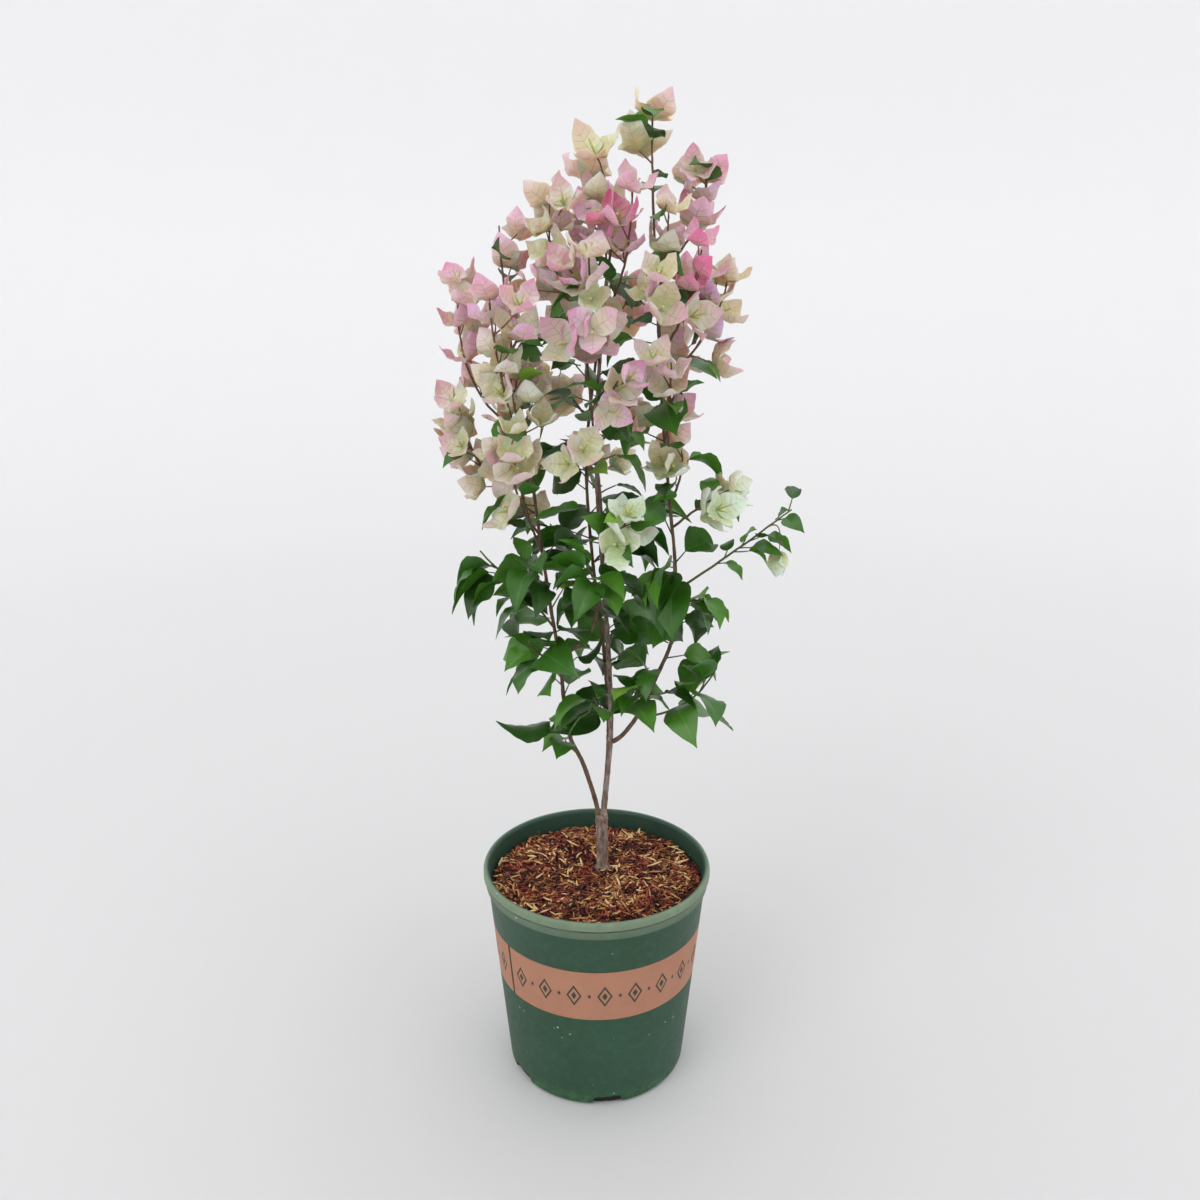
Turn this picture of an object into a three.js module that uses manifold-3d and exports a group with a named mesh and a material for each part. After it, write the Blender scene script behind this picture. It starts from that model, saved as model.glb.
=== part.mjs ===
// A young bougainvillea bush in its round nursery pot.
// Millimetres, +Z up. The origin is the middle of the pot's underside, and -Y is the front.
//
// The bush is one short trunk, five tapering boughs and many sprays. Each spray is one solid: a stem that
// leaves its bough, side twigs, leaves and blooms. A bloom is three papery bracts that stand round a twig's end.
import * as THREE from "three";
import { mergeVertices } from "three/addons/utils/BufferGeometryUtils.js";
import Module from "manifold-3d";

const wasm = await Module();
wasm.setup();

// ---------- Driving dimensions ----------

const CLEARANCE = 0.3; // gap between pieces that touch

const POT = {
  height: 220,
  rimRadius: 115,
  mouthRadius: 110.4, // outside of the wall, just under the rim
  baseRadius: 91,
  wall: 2.2,
  floor: 3,
  cornerRadius: 6,
  lipTop: 3, // height of the rounded lip
  upperBand: 9, // from the top of the rim to the step in it
  lowerBand: 19, // from the top of the rim to its lower edge
  bandStep: 1.6,
  segments: 44,
};

const NOTCH = { width: 33, height: 11, depth: 17, headings: [-56, 6.7, 124, 186.7] };

const LABEL = { bottom: 107, top: 163, thickness: 0.5, recess: 0.8, gapWidth: 3, gapHeading: -53.5 };

const SOIL = { level: 202, mound: 205, edge: 199.5, flatRadius: 32, moundRadius: 66 };

const TRUNK = { foot: [6, 17], lean: [-1, -1], top: 263, footRadius: 5.8, topRadius: 6.3, flare: 3.2, sides: 10 };

// A bough's way is given by the points it passes, then its radius at both ends.
const BOUGHS = {
  centre_bough: {
    way: [[10.6, 17, 306], [14, 16, 351], [12, 12, 430], [6, 8, 520], [0, 5, 620], [3, 3, 720], [11, 0, 800]],
    radii: [3.5, 1.5],
  },
  left_bough: {
    way: [[-14, 14, 321], [-26, 12, 348], [-32, 8, 389], [-35, 4, 428], [-44, 0, 490], [-53, -5, 560],
      [-61, -8, 630], [-70, -8, 690]],
    radii: [2.6, 1.3],
  },
  right_bough: {
    way: [[29, 7, 358], [43, 0, 383], [58, -6, 421], [72, -8, 460], [74, -6, 520], [66, -3, 600], [58, 0, 690],
      [53, 2, 770], [49, 2, 838]],
    radii: [2.5, 1.2],
  },
  back_bough: {
    way: [[12, 36, 345], [8, 52, 420], [-4, 60, 520], [-10, 60, 620], [0, 56, 720], [8, 52, 780]],
    radii: [2.4, 1.2],
  },
  front_bough: {
    way: [[-26, -10, 446], [-10, -22, 462], [4, -31, 510], [4, -38, 590], [-2, -42, 650], [-8, -42, 715]],
    radii: [1.9, 1.1],
  },
};

// Where a bough leaves the trunk's top (across and back from its middle) or another bough (how far up that one).
const BOUGH_SEATS = {
  centre_bough: { onTrunk: [2.5, 0] },
  left_bough: { onTrunk: [-4.1, 0] },
  right_bough: { parent: "centre_bough", at: 0.36, toward: [1, -0.4, 0] },
  back_bough: { parent: "centre_bough", at: 0.19, toward: [0, 1, 0] },
  front_bough: { parent: "left_bough", at: 0.55, toward: [0.6, -1, 0] },
};

const BOUGH_SIDES = 6;
const BOUGH_STEP = 34; // length of one straight stretch of a bough

// The sprays of each bough: the outermost point each reaches, and how many blooms and leaves it may carry.
const SPRAYS = {
  right_bough: [
    ["spire_top", [46, -4, 932], 2, 4],
    ["head_right_top", [104, -4, 884], 6, 1],
    ["head_right_inner", [60, -62, 850], 6, 1],
    ["head_right_low", [50, -88, 796], 6, 1],
    ["head_right_front", [92, -62, 824], 6, 1],
    ["head_right_far", [126, 4, 800], 6, 1],
    ["head_right_back", [84, 72, 806], 6, 2],
    ["middle_right_front", [62, -72, 734], 5, 2],
    ["middle_right_back", [66, 64, 716], 6, 3],
    ["low_right", [78, -40, 660], 5, 3],
    ["sprig_white", [136, -24, 616], 4, 3],
    ["sprig_right", [196, -12, 597], 0, 8],
    ["leaf_right", [114, -26, 520], 0, 6],
    ["leaf_right_front", [66, -74, 562], 1, 6],
    ["leaf_right_low", [130, -26, 448], 0, 5],
    ["leaf_right_back", [100, 52, 510], 0, 7],
  ],
  centre_bough: [
    ["spire_left", [-2, -10, 904], 3, 1],
    ["head_top", [34, -44, 872], 5, 1],
    ["head_left_top", [-48, 0, 868], 6, 1],
    ["head_middle", [-8, -82, 816], 7, 1],
    ["leaf_upper", [22, -66, 694], 1, 8],
    ["leaf_inner", [-16, -52, 530], 0, 6],
    ["leaf_low", [-10, -40, 420], 0, 4],
    ["leaf_middle_low", [54, -50, 436], 0, 5],
  ],
  left_bough: [
    ["shoulder_left", [-88, 22, 852], 3, 4],
    ["head_left_far", [-130, 4, 804], 6, 1],
    ["head_left_front", [-92, -68, 784], 7, 1],
    ["middle_left", [-76, -60, 722], 5, 2],
    ["left_back", [-90, 68, 750], 6, 2],
    ["low_left_far", [-140, -4, 698], 6, 1],
    ["low_left_front", [-84, -72, 682], 7, 1],
    ["low_left_back", [-90, 68, 652], 6, 3],
    ["leaf_left_far", [-124, -20, 560], 0, 5],
    ["leaf_left_front", [-72, -60, 566], 0, 6],
    ["leaf_left_low", [-76, -34, 476], 0, 5],
    ["leaf_left_back", [-88, 50, 520], 0, 7],
  ],
  front_bough: [
    ["head_front", [0, -92, 758], 7, 2],
    ["middle_front", [26, -94, 716], 6, 2],
    ["low_front", [-26, -90, 666], 7, 2],
    ["leaf_front", [-12, -84, 560], 0, 6],
    ["bloom_front", [34, -88, 600], 3, 6],
  ],
  back_bough: [
    ["head_back_top", [-4, 64, 860], 7, 1],
    ["head_back_left", [-60, 86, 806], 7, 2],
    ["head_back_right", [44, 94, 792], 7, 2],
    ["middle_back_left", [-54, 104, 712], 6, 2],
    ["middle_back_right", [44, 108, 698], 6, 2],
    ["low_back", [-8, 118, 636], 6, 4],
    ["leaf_back_left", [-62, 94, 566], 0, 7],
    ["leaf_back_right", [52, 98, 566], 0, 7],
    ["leaf_back_low", [16, 100, 460], 0, 6],
  ],
};

const STEM = { rootRadius: 1.6, tipRadius: 1.05, sides: 4, climb: 0.75, steps: 4, lift: 35, shortOfTip: 22 };
const TWIG = { rootRadius: 0.6, tipRadius: 0.7, lengths: [8, 46], lifts: [5, 80] };
const BLOOM = { lengths: [29, 37], widthShare: 0.84, opening: [32, 56], widest: 0.44, belly: -0.16, curl: -0.1 };
const LEAF = { lengths: [40, 64], widthShare: 0.7, petiole: [7, 16], widest: 0.36, belly: 0.07, curl: 0.22 };
const SMALL_LEAF_SHARE = 0.6; // a leaf among blooms, against one on a leafy spray
const LEAF_SIZES = { sprig_right: 0.5, leaf_left_far: 1.12, leaf_right_low: 1.08, leaf_low: 0.7, leaf_middle_low: 0.85 }; // sprays with leaves of another size
const BLADE_THICKNESS = 1.1;
const SPACE_MARGIN = 1; // how much nearer a leaf stays to its own stem than to any other
const LIMB_MARGIN = 0.7;
const CROWDING = 4.8; // how near two twigs' leaves may come in one spray
const TWIG_CROWDING = 3; // how near a twig may pass another twig or its leaves
const OVERREACH = 8; // how far a leaf may pass its spray's outermost point
const LEAST_REACH = 60; // how far from the bush's middle any spray may spread
const TRIES = 300;
const SMALLEST = 0.8; // the size of the last try

// ---------- Small vector and number tools ----------

const UP = new THREE.Vector3(0, 0, 1);
const radians = (degrees) => (degrees * Math.PI) / 180;
const point = (xyz) => new THREE.Vector3(...xyz);
const mix = (a, b, t) => a + (b - a) * t;

// The point and the direction at a share of the way along a line of points, by its straight stretches.
function alongPath(path, share) {
  const scaled = Math.min(Math.max(share, 0), 0.999999) * (path.length - 1);
  const i = Math.floor(scaled);
  const place = path[i].clone().lerp(path[i + 1], scaled - i);
  return { place, along: path[i + 1].clone().sub(path[i]).normalize() };
}

// The sum of several [vector, weight] pairs.
function blend(...pairs) {
  const sum = new THREE.Vector3();
  for (const [vector, weight] of pairs) sum.addScaledVector(vector, weight);
  return sum;
}

// The part of a vector that is square to a unit axis, at length 1.
const squareTo = (vector, axis) => vector.clone().addScaledVector(axis, -vector.dot(axis)).normalize();

// A repeatable stream of numbers from 0 to 1.
function seeded(seed) {
  let state = (seed * 2654435761) >>> 0;
  return () => {
    state = (Math.imul(state, 1664525) + 1013904223) >>> 0;
    return state / 4294967296;
  };
}

// ---------- Closed solids ----------

// A closed three.js geometry as a manifold solid that faces out.
function solidOf(geometry) {
  const bare = geometry.clone();
  bare.deleteAttribute("normal");
  bare.deleteAttribute("uv");
  const merged = mergeVertices(bare, 1e-4);
  const triVerts = new Uint32Array(merged.index.array);
  const make = () =>
    new wasm.Manifold(new wasm.Mesh({ numProp: 3, vertProperties: merged.attributes.position.array, triVerts }));
  const made = make();
  if (made.volume() > 0) return made;
  for (let i = 0; i < triVerts.length; i += 3) [triVerts[i], triVerts[i + 1]] = [triVerts[i + 1], triVerts[i]];
  return make();
}

function geometryOf(solid) {
  const mesh = solid.getMesh();
  const geometry = new THREE.BufferGeometry();
  geometry.setAttribute("position", new THREE.BufferAttribute(mesh.vertProperties, 3));
  geometry.setIndex(new THREE.BufferAttribute(mesh.triVerts, 1));
  return geometry;
}

function indexed(points, triangles) {
  const geometry = new THREE.BufferGeometry();
  geometry.setAttribute("position", new THREE.Float32BufferAttribute(points.flatMap((p) => p.toArray()), 3));
  geometry.setIndex(triangles);
  return geometry;
}

// A closed limb through the points of a path, with one radius for each point and flat ends.
// An end named level lies flat whatever way the limb leans there.
function limbGeometry({ path, radii, levelStart, levelEnd }, sides) {
  const rings = [];
  let across = squareTo(new THREE.Vector3(1, 0.3, 0.2), direction(path, 0));
  path.forEach((centre, i) => {
    const level = (levelStart && i === 0) || (levelEnd && i === path.length - 1);
    const along = level ? UP : direction(path, i);
    across = squareTo(across, along);
    const other = along.clone().cross(across);
    for (let k = 0; k < sides; k++) {
      const turn = (2 * Math.PI * k) / sides;
      rings.push(blend([centre, 1], [across, radii[i] * Math.cos(turn)], [other, radii[i] * Math.sin(turn)]));
    }
  });
  const triangles = [];
  const last = (path.length - 1) * sides;
  for (let i = 0; i < path.length - 1; i++)
    for (let k = 0; k < sides; k++) {
      const [a, b] = [i * sides + k, i * sides + ((k + 1) % sides)];
      triangles.push(a, b, b + sides, a, b + sides, a + sides);
    }
  for (let k = 1; k < sides - 1; k++) triangles.push(0, k + 1, k, last, last + k, last + k + 1);
  return indexed(rings, triangles);
}

// The direction of a path at one of its points.
function direction(path, i) {
  const before = path[Math.max(i - 1, 0)];
  const after = path[Math.min(i + 1, path.length - 1)];
  return after.clone().sub(before).normalize();
}

// A closed three-sided twig that opens at its end into one leaf or the three bracts of a bloom.
function twigGeometry({ from, end, way, axis, spokes, blades }) {
  const points = [];
  const triangles = [];
  const add = (place) => points.push(place) - 1;
  const ring = (centre, normal, radius) =>
    spokes.map((spoke) => add(blend([centre, 1], [squareTo(spoke, normal), radius])));
  const low = ring(from, way, TWIG.rootRadius);
  const high = ring(end, way.clone().add(axis).normalize(), TWIG.tipRadius);
  triangles.push(low[0], low[2], low[1]);
  for (const [k, n] of [[0, 1], [1, 2], [2, 0]]) triangles.push(low[k], low[n], high[n], low[k], high[n], high[k]);
  const apex = blades.length > 1 ? add(blend([end, 1], [axis, TWIG.tipRadius])) : undefined;
  blades.forEach((blade, k) => {
    const [a, b, c] = apex === undefined ? high : [high[k], high[(k + 1) % 3], apex];
    const [left, right, tip] = [blade.left, blade.right, blade.tip].map(add);
    const over = add(blend([blade.middle, 1], [blade.face, BLADE_THICKNESS / 2]));
    const under = add(blend([blade.middle, 1], [blade.face, -BLADE_THICKNESS / 2]));
    triangles.push(a, b, under, a, under, left, b, right, under, left, under, tip, right, tip, under);
    triangles.push(c, a, left, b, c, right, c, left, over, c, over, right, left, tip, over, right, over, tip);
  });
  return indexed(points, triangles);
}

// ---------- Limbs ----------

// A smooth curve through points, as evenly spaced points with a radius each.
function limbAlong(points, radii, step, flare = 0) {
  const curve = new THREE.CatmullRomCurve3(points, false, "centripetal");
  const count = Math.max(3, Math.round(curve.getLength() / step));
  const path = curve.getPoints(count);
  const widths = path.map((_, i) => mix(radii[0], radii[1], i / count) + flare * Math.exp((-6 * i) / count));
  return { path, radii: widths };
}

// The middle, direction and radius of a limb at a share of its length.
function limbAt({ path, radii }, share) {
  return { ...alongPath(path, share), radius: mix(radii[0], radii.at(-1), share) };
}

// Where a limb or stem of a radius leaves a parent limb: clear of its side by the clearance.
function seatOn(parent, at, toward, radius, lift) {
  const { place, along, radius: parentRadius } = limbAt(parent, at);
  const out = squareTo(toward, along);
  const leave = blend([out, Math.cos(radians(lift))], [along, Math.sin(radians(lift))]);
  const reach = 0.95 * parentRadius + CLEARANCE + 0.68 * radius;
  return { start: blend([place, 1], [out, reach]), leave };
}

function makeTrunk() {
  const [x, y] = TRUNK.foot;
  const foot = new THREE.Vector3(x, y, SOIL.level + CLEARANCE);
  const above = new THREE.Vector3(x, y, SOIL.level + CLEARANCE + 4);
  const neck = new THREE.Vector3(x + TRUNK.lean[0], y + TRUNK.lean[1], TRUNK.top - 4);
  const top = new THREE.Vector3(x + TRUNK.lean[0], y + TRUNK.lean[1], TRUNK.top);
  const limb = limbAlong([foot, above, neck, top], [TRUNK.footRadius, TRUNK.topRadius], 9, TRUNK.flare);
  return { ...limb, top, levelStart: true, levelEnd: true };
}

function makeBoughs(trunk) {
  const boughs = {};
  for (const [name, { way, radii }] of Object.entries(BOUGHS)) {
    const seat = BOUGH_SEATS[name];
    let start;
    let leave;
    if (seat.onTrunk) {
      start = trunk.top.clone().add(new THREE.Vector3(...seat.onTrunk, CLEARANCE));
      leave = UP;
    } else {
      ({ start, leave } = seatOn(boughs[seat.parent], seat.at, point(seat.toward), radii[0], 40));
    }
    const points = [start, blend([start, 1], [leave, 5]), ...way.map(point)];
    boughs[name] = { ...limbAlong(points, radii, BOUGH_STEP), levelStart: Boolean(seat.onTrunk) };
  }
  return boughs;
}

// ---------- Sprays ----------

// The share of a bough's length from which a stem climbs to its tip at the usual slope.
// Each further spray has its highest place a little lower, so no two leave from one place.
function rootShare(bough, tip, rank) {
  let best = 1;
  let leastMiss = Infinity;
  for (let share = 0.04; share <= 0.97 - 0.03 * rank; share += 0.01) {
    const { place } = limbAt(bough, share);
    const across = Math.hypot(tip.x - place.x, tip.y - place.y);
    const miss = Math.abs(tip.z - place.z - STEM.climb * across);
    if (miss < leastMiss) {
      leastMiss = miss;
      best = share;
    }
  }
  return best;
}

// A spray's stem: it leaves its bough and bends up to a point short of its tip. A bough's first spray is its leader,
// which goes on from the bough's end.
function makeStem(bough, tip, rank) {
  const share = rank === 0 ? 1 : rootShare(bough, tip, rank);
  const { place, along } = limbAt(bough, share);
  const seat =
    rank === 0
      ? { start: blend([place, 1], [along, CLEARANCE]), leave: along }
      : seatOn(bough, share, tip.clone().sub(place), STEM.rootRadius, STEM.lift);
  const { start, leave } = seat;
  const reach = tip.distanceTo(start);
  const stop = tip.clone().lerp(start, STEM.shortOfTip / reach);
  return new THREE.QuadraticBezierCurve3(start, blend([start, 1], [leave, 0.45 * reach]), stop);
}

const stretch = new THREE.Line3();
const nearest = new THREE.Vector3();

// The distance from a point to a line of points.
function distanceToPath(place, path) {
  let least = Infinity;
  for (let i = 0; i < path.length - 1; i++) {
    stretch.set(path[i], path[i + 1]).closestPointToPoint(place, true, nearest);
    least = Math.min(least, nearest.distanceTo(place));
  }
  return least;
}

function bladeAt({ root, forward, face, length, widthShare, widest, belly, curl }) {
  const side = forward.clone().cross(face);
  const width = length * widthShare;
  const middle = blend([root, 1], [forward, length * widest], [face, length * belly]);
  const waist = blend([root, 1], [forward, length * widest], [face, length * belly * 0.5]);
  return {
    root, face, middle, forward, side, length, width,
    tip: blend([root, 1], [forward, length], [face, -length * curl]),
    left: blend([waist, 1], [side, width / 2]),
    right: blend([waist, 1], [side, -width / 2]),
  };
}

// Points all over a blade, for the tests of its space.
function bladePoints({ root, left, right, tip, middle }) {
  const halfway = (a, b) => a.clone().lerp(b, 0.5);
  const corners = [root, left, tip, right];
  return [...corners, middle, ...corners.flatMap((at, i) => [halfway(at, corners[(i + 1) % 4]), halfway(at, middle)])];
}

// True if a blade or twig meets no trunk or bough.
function clearOfLimbs(forward, side, face, root, length, width, depth, limbPoints) {
  for (const { place, radius } of limbPoints) {
    const from = place.clone().sub(root);
    const room = radius + LIMB_MARGIN;
    const along = from.dot(forward);
    if (along < -room || along > length + room) continue;
    if (Math.abs(from.dot(side)) > width / 2 + room) continue;
    if (Math.abs(from.dot(face)) < depth + room) return false;
  }
  return true;
}

function growSpray(spray, sprays, limbPoints) {
  const draw = seeded(spray.seed);
  const between = ([low, high]) => mix(low, high, draw());
  const others = sprays.filter((other) => other !== spray);
  const ownsPoint = (place) => {
    const own = distanceToPath(place, spray.path) + SPACE_MARGIN;
    return others.every((other) => distanceToPath(place, other.path) > own);
  };
  const grown = { twigs: [], taken: [] };
  const twigClear = (from, to, radius) => {
    const forward = to.clone().sub(from).normalize();
    const side = squareTo(new THREE.Vector3(0.3, 0.4, 0.9), forward);
    const length = to.distanceTo(from);
    const depth = radius;
    return clearOfLimbs(forward, side, forward.clone().cross(side), from, length, radius * 2, depth, limbPoints);
  };
  const inReach = (place) =>
    place.z < spray.tip.z + OVERREACH &&
    Math.hypot(place.x, place.y) < Math.max(Math.hypot(spray.tip.x, spray.tip.y), LEAST_REACH) + OVERREACH;
  const fits = (from, end, blades) => {
    const places = blades.flatMap(bladePoints);
    const twigPlaces = [0.4, 0.7].map((share) => from.clone().lerp(end, share));
    return (
      places.every(inReach) &&
      places.every((place) => grown.taken.every((other) => other.distanceTo(place) > CROWDING)) &&
      twigPlaces.every((place) => grown.taken.every((other) => other.distanceTo(place) > TWIG_CROWDING)) &&
      places.every(ownsPoint) &&
      blades.every(({ root, forward, side, face, length, width }) =>
        clearOfLimbs(forward, side, face, root, length, width, length * 0.2, limbPoints),
      )
    );
  };
  const keep = (twig) => {
    grown.twigs.push(twig);
    grown.taken.push(...twig.blades.flatMap(bladePoints), ...[0.5, 0.9].map((share) => twig.from.clone().lerp(twig.end, share)));
  };

  // The way out of the stem at a share of its length, turned by an angle and drawn to the outside of the bush.
  const sideways = (share, angle, pull) => {
    const { place, along } = alongPath(spray.path, share);
    const across = squareTo(new THREE.Vector3(0.2, 0.1, 1), along);
    const other = along.clone().cross(across);
    const outward = new THREE.Vector3(place.x, place.y, 0).normalize();
    const out = blend([across, Math.cos(angle)], [other, Math.sin(angle)], [outward, pull]).normalize();
    return { place, along, out, outward };
  };

  for (let n = 0; n < spray.blooms; n++)
    for (let attempt = 0; attempt < 2 * TRIES; attempt++) {
      const share = n === 0 ? 0.97 : mix(0.3, 0.97, draw());
      const { place: from, along, out, outward } = sideways(share, draw() * 2 * Math.PI, 0.35);
      const lift = radians(n === 0 ? 80 : between(TWIG.lifts));
      const way = blend([out, Math.cos(lift)], [along, Math.sin(lift)]).normalize();
      const end = blend([from, 1], [way, between(TWIG.lengths) * (n === 0 ? 0.35 : 1)]);
      const axis = blend([way, 0.6], [UP, 0.45], [outward, 0.55], [out, 0.5 * draw()]).normalize();
      const length = between(BLOOM.lengths) * mix(1, SMALLEST, attempt / (2 * TRIES));
      const opening = radians(between(BLOOM.opening));
      const first = squareTo(new THREE.Vector3(0.6, 0.7, 0.3), axis).applyAxisAngle(axis, draw() * 2.1);
      const spoke = (turns) => first.clone().applyAxisAngle(axis, turns * 2 * Math.PI);
      const blades = [0, 1, 2].map((k) => {
        const ray = spoke(k / 3);
        const forward = blend([axis, Math.cos(opening)], [ray, Math.sin(opening)]);
        const face = blend([axis, Math.sin(opening)], [ray, -Math.cos(opening)]);
        return bladeAt({ root: end, forward, face, length, ...BLOOM });
      });
      if (!fits(from, end, blades) || !twigClear(from, end, TWIG.rootRadius)) continue;
      const spokes = [0, 1, 2].map((k) => spoke((k - 0.5) / 3));
      keep({ from, end, way, axis, spokes, blades });
      break;
    }

  const leafScale = LEAF_SIZES[spray.name] ?? (spray.blooms > 1 ? SMALL_LEAF_SHARE : 1);
  for (let n = 0; n < spray.leaves; n++)
    for (let attempt = 0; attempt < TRIES; attempt++) {
      const { place: from, along, out } = sideways(mix(0.12, 0.97, draw()), draw() * 2 * Math.PI, 0.45);
      const way = blend([out, 0.8], [along, 0.5], [UP, 0.25]).normalize();
      const end = blend([from, 1], [way, between(LEAF.petiole)]);
      const droop = mix(-0.55, 0.5, draw());
      const axis = blend([out, 1], [way, 0.35], [UP, -droop]).normalize();
      const face = squareTo(blend([UP, 1], [out, 0.8]), axis).applyAxisAngle(axis, (draw() - 0.5) * 1.1);
      const length = between(LEAF.lengths) * mix(1, SMALLEST, attempt / TRIES) * leafScale;
      const blade = bladeAt({ root: end, forward: axis, face, length, ...LEAF });
      if (!fits(from, end, [blade]) || !twigClear(from, end, TWIG.rootRadius)) continue;
      const { side } = blade;
      const spokes = [blend([side, 0.87], [face, -0.5]), blend([side, -0.87], [face, -0.5]), face];
      keep({ from, end, way, axis, spokes, blades: [blade] });
      break;
    }
  return grown;
}

// All parts of a spray, joined into one solid. What doesn't reach the stem is left out.
function spraySolid(spray, grown) {
  const radii = spray.path.map((_, i) => mix(STEM.rootRadius, STEM.tipRadius, i / STEM.steps));
  const stem = solidOf(limbGeometry({ path: spray.path, radii }, STEM.sides));
  const joined = grown.twigs.reduce((solid, twig) => solid.add(solidOf(twigGeometry(twig))), stem);
  return joined.decompose().reduce((a, b) => (a.volume() > b.volume() ? a : b));
}

// ---------- Pot, label and soil ----------

// The outside radius of the pot's wall at a height.
const wallRadius = (z) => mix(POT.baseRadius, POT.mouthRadius, z / (POT.height - POT.lowerBand));

// A solid of revolution about +Z from (radius, height) pairs.
function turned(profile) {
  const points = profile.map(([r, z]) => new THREE.Vector2(r, z));
  return new THREE.LatheGeometry(points, POT.segments).rotateX(Math.PI / 2);
}

function cornerArc() {
  const steps = 3;
  return Array.from({ length: steps + 1 }, (_, i) => {
    const turn = (Math.PI / 2) * (i / steps);
    const r = wallRadius(POT.cornerRadius) - POT.cornerRadius * (1 - Math.sin(turn));
    return [r, POT.cornerRadius * (1 - Math.cos(turn))];
  });
}

// The pot's drain notches are arches cut out of its lower edge.
function notchSolid(heading) {
  const { width, height, depth } = NOTCH;
  const arch = new THREE.Shape();
  arch.moveTo(-width / 2, -1);
  arch.lineTo(width / 2, -1);
  arch.lineTo(width / 2 - 3, height - 2);
  arch.quadraticCurveTo(width / 2 - 4, height, width / 2 - 7, height);
  arch.lineTo(-width / 2 + 7, height);
  arch.quadraticCurveTo(-width / 2 + 4, height, -width / 2 + 3, height - 2);
  const geometry = new THREE.ExtrudeGeometry(arch, { depth, bevelEnabled: false, curveSegments: 3 });
  geometry.rotateX(Math.PI / 2); // the arch now stands up and runs along -Y, which is heading 0
  geometry.translate(0, -(POT.baseRadius + 4 - depth), 0);
  geometry.rotateZ(radians(heading));
  return solidOf(geometry);
}

function potSolid() {
  const { height, rimRadius, wall, floor, lipTop, upperBand, lowerBand, bandStep, mouthRadius } = POT;
  const inner = (z) => wallRadius(z) - wall;
  const profile = [
    [0, 0],
    ...cornerArc(),
    [wallRadius(LABEL.bottom), LABEL.bottom],
    [wallRadius(LABEL.bottom) - LABEL.recess, LABEL.bottom],
    [wallRadius(LABEL.top) - LABEL.recess, LABEL.top],
    [wallRadius(LABEL.top), LABEL.top],
    [mouthRadius, height - lowerBand],
    [rimRadius - bandStep - 0.6, height - lowerBand + 0.8],
    [rimRadius - bandStep, height - upperBand - 0.8],
    [rimRadius, height - upperBand],
    [rimRadius, height - lipTop],
    [rimRadius - 1, height - 0.8],
    [rimRadius - 2.4, height],
    [rimRadius - 4, height - 0.6],
    [inner(height - lowerBand) + 1, height - lipTop],
    [inner(height - lowerBand), height - lowerBand],
    [inner(floor), floor],
    [0, floor],
  ];
  return NOTCH.headings.reduce((pot, heading) => pot.subtract(notchSolid(heading)), solidOf(turned(profile)));
}

// The printed band sits in a shallow recess and has one narrow gap.
function labelSolid() {
  const { bottom, top, thickness, gapWidth, gapHeading } = LABEL;
  const [low, high] = [bottom + CLEARANCE, top - CLEARANCE];
  const ring = turned([
    [wallRadius(low) - thickness, low],
    [wallRadius(low), low],
    [wallRadius(high), high],
    [wallRadius(high) - thickness, high],
    [wallRadius(low) - thickness, low],
  ]);
  const gap = new THREE.BoxGeometry(gapWidth, 30, top - bottom + 10);
  gap.translate(0, -wallRadius(top), (bottom + top) / 2);
  gap.rotateZ(radians(gapHeading));
  return solidOf(ring).subtract(solidOf(gap));
}

function soilSolid() {
  const inner = (z) => wallRadius(z) - POT.wall - CLEARANCE;
  const low = POT.floor + CLEARANCE;
  return solidOf(
    turned([
      [0, low],
      [inner(low), low],
      [inner(SOIL.edge), SOIL.edge],
      [SOIL.moundRadius, SOIL.mound],
      [SOIL.flatRadius, SOIL.level],
      [0, SOIL.level],
    ]),
  );
}

// ---------- The whole plant ----------

const MATERIALS = {
  pot: new THREE.MeshStandardMaterial({ color: 0x2f4f3c, roughness: 0.5, metalness: 0 }),
  label: new THREE.MeshStandardMaterial({ color: 0xb0785f, roughness: 0.55, metalness: 0 }),
  soil: new THREE.MeshStandardMaterial({ color: 0x5a2f1c, roughness: 0.95, metalness: 0 }),
  bark: new THREE.MeshStandardMaterial({ color: 0x7a6a5c, roughness: 0.85, metalness: 0 }),
  leaf: new THREE.MeshStandardMaterial({ color: 0x2c5a1e, roughness: 0.45, metalness: 0 }),
  bract: new THREE.MeshStandardMaterial({ color: 0xe2b9bd, roughness: 0.7, metalness: 0 }),
};

const plant = new THREE.Group();

function addPart(name, solid, material) {
  const mesh = new THREE.Mesh(geometryOf(solid), material);
  mesh.name = name;
  plant.add(mesh);
}

addPart("pot", potSolid(), MATERIALS.pot);
addPart("pot_label", labelSolid(), MATERIALS.label);
addPart("soil", soilSolid(), MATERIALS.soil);

const trunk = makeTrunk();
addPart("trunk", solidOf(limbGeometry(trunk, TRUNK.sides)), MATERIALS.bark);

const boughs = makeBoughs(trunk);
for (const [name, bough] of Object.entries(boughs))
  addPart(name, solidOf(limbGeometry(bough, BOUGH_SIDES)), MATERIALS.bark);

// Closely spaced points on the trunk and boughs, for the tests against them.
const limbPoints = [trunk, ...Object.values(boughs)].flatMap((limb) => {
  const count = 12 * limb.path.length;
  return Array.from({ length: count + 1 }, (_, i) => limbAt(limb, i / count));
});

const sprays = Object.entries(SPRAYS).flatMap(([boughName, list]) =>
  list.map(([name, reach, blooms, leaves], rank) => {
    const tip = point(reach);
    return { name, blooms, leaves, tip, path: makeStem(boughs[boughName], tip, rank).getPoints(STEM.steps) };
  }),
);
sprays.forEach((spray, i) => (spray.seed = i + 1));

for (const spray of sprays) {
  const grown = growSpray(spray, sprays, limbPoints);
  addPart(spray.name, spraySolid(spray, grown), spray.blooms > 1 ? MATERIALS.bract : MATERIALS.leaf);
}

export default plant;
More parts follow.
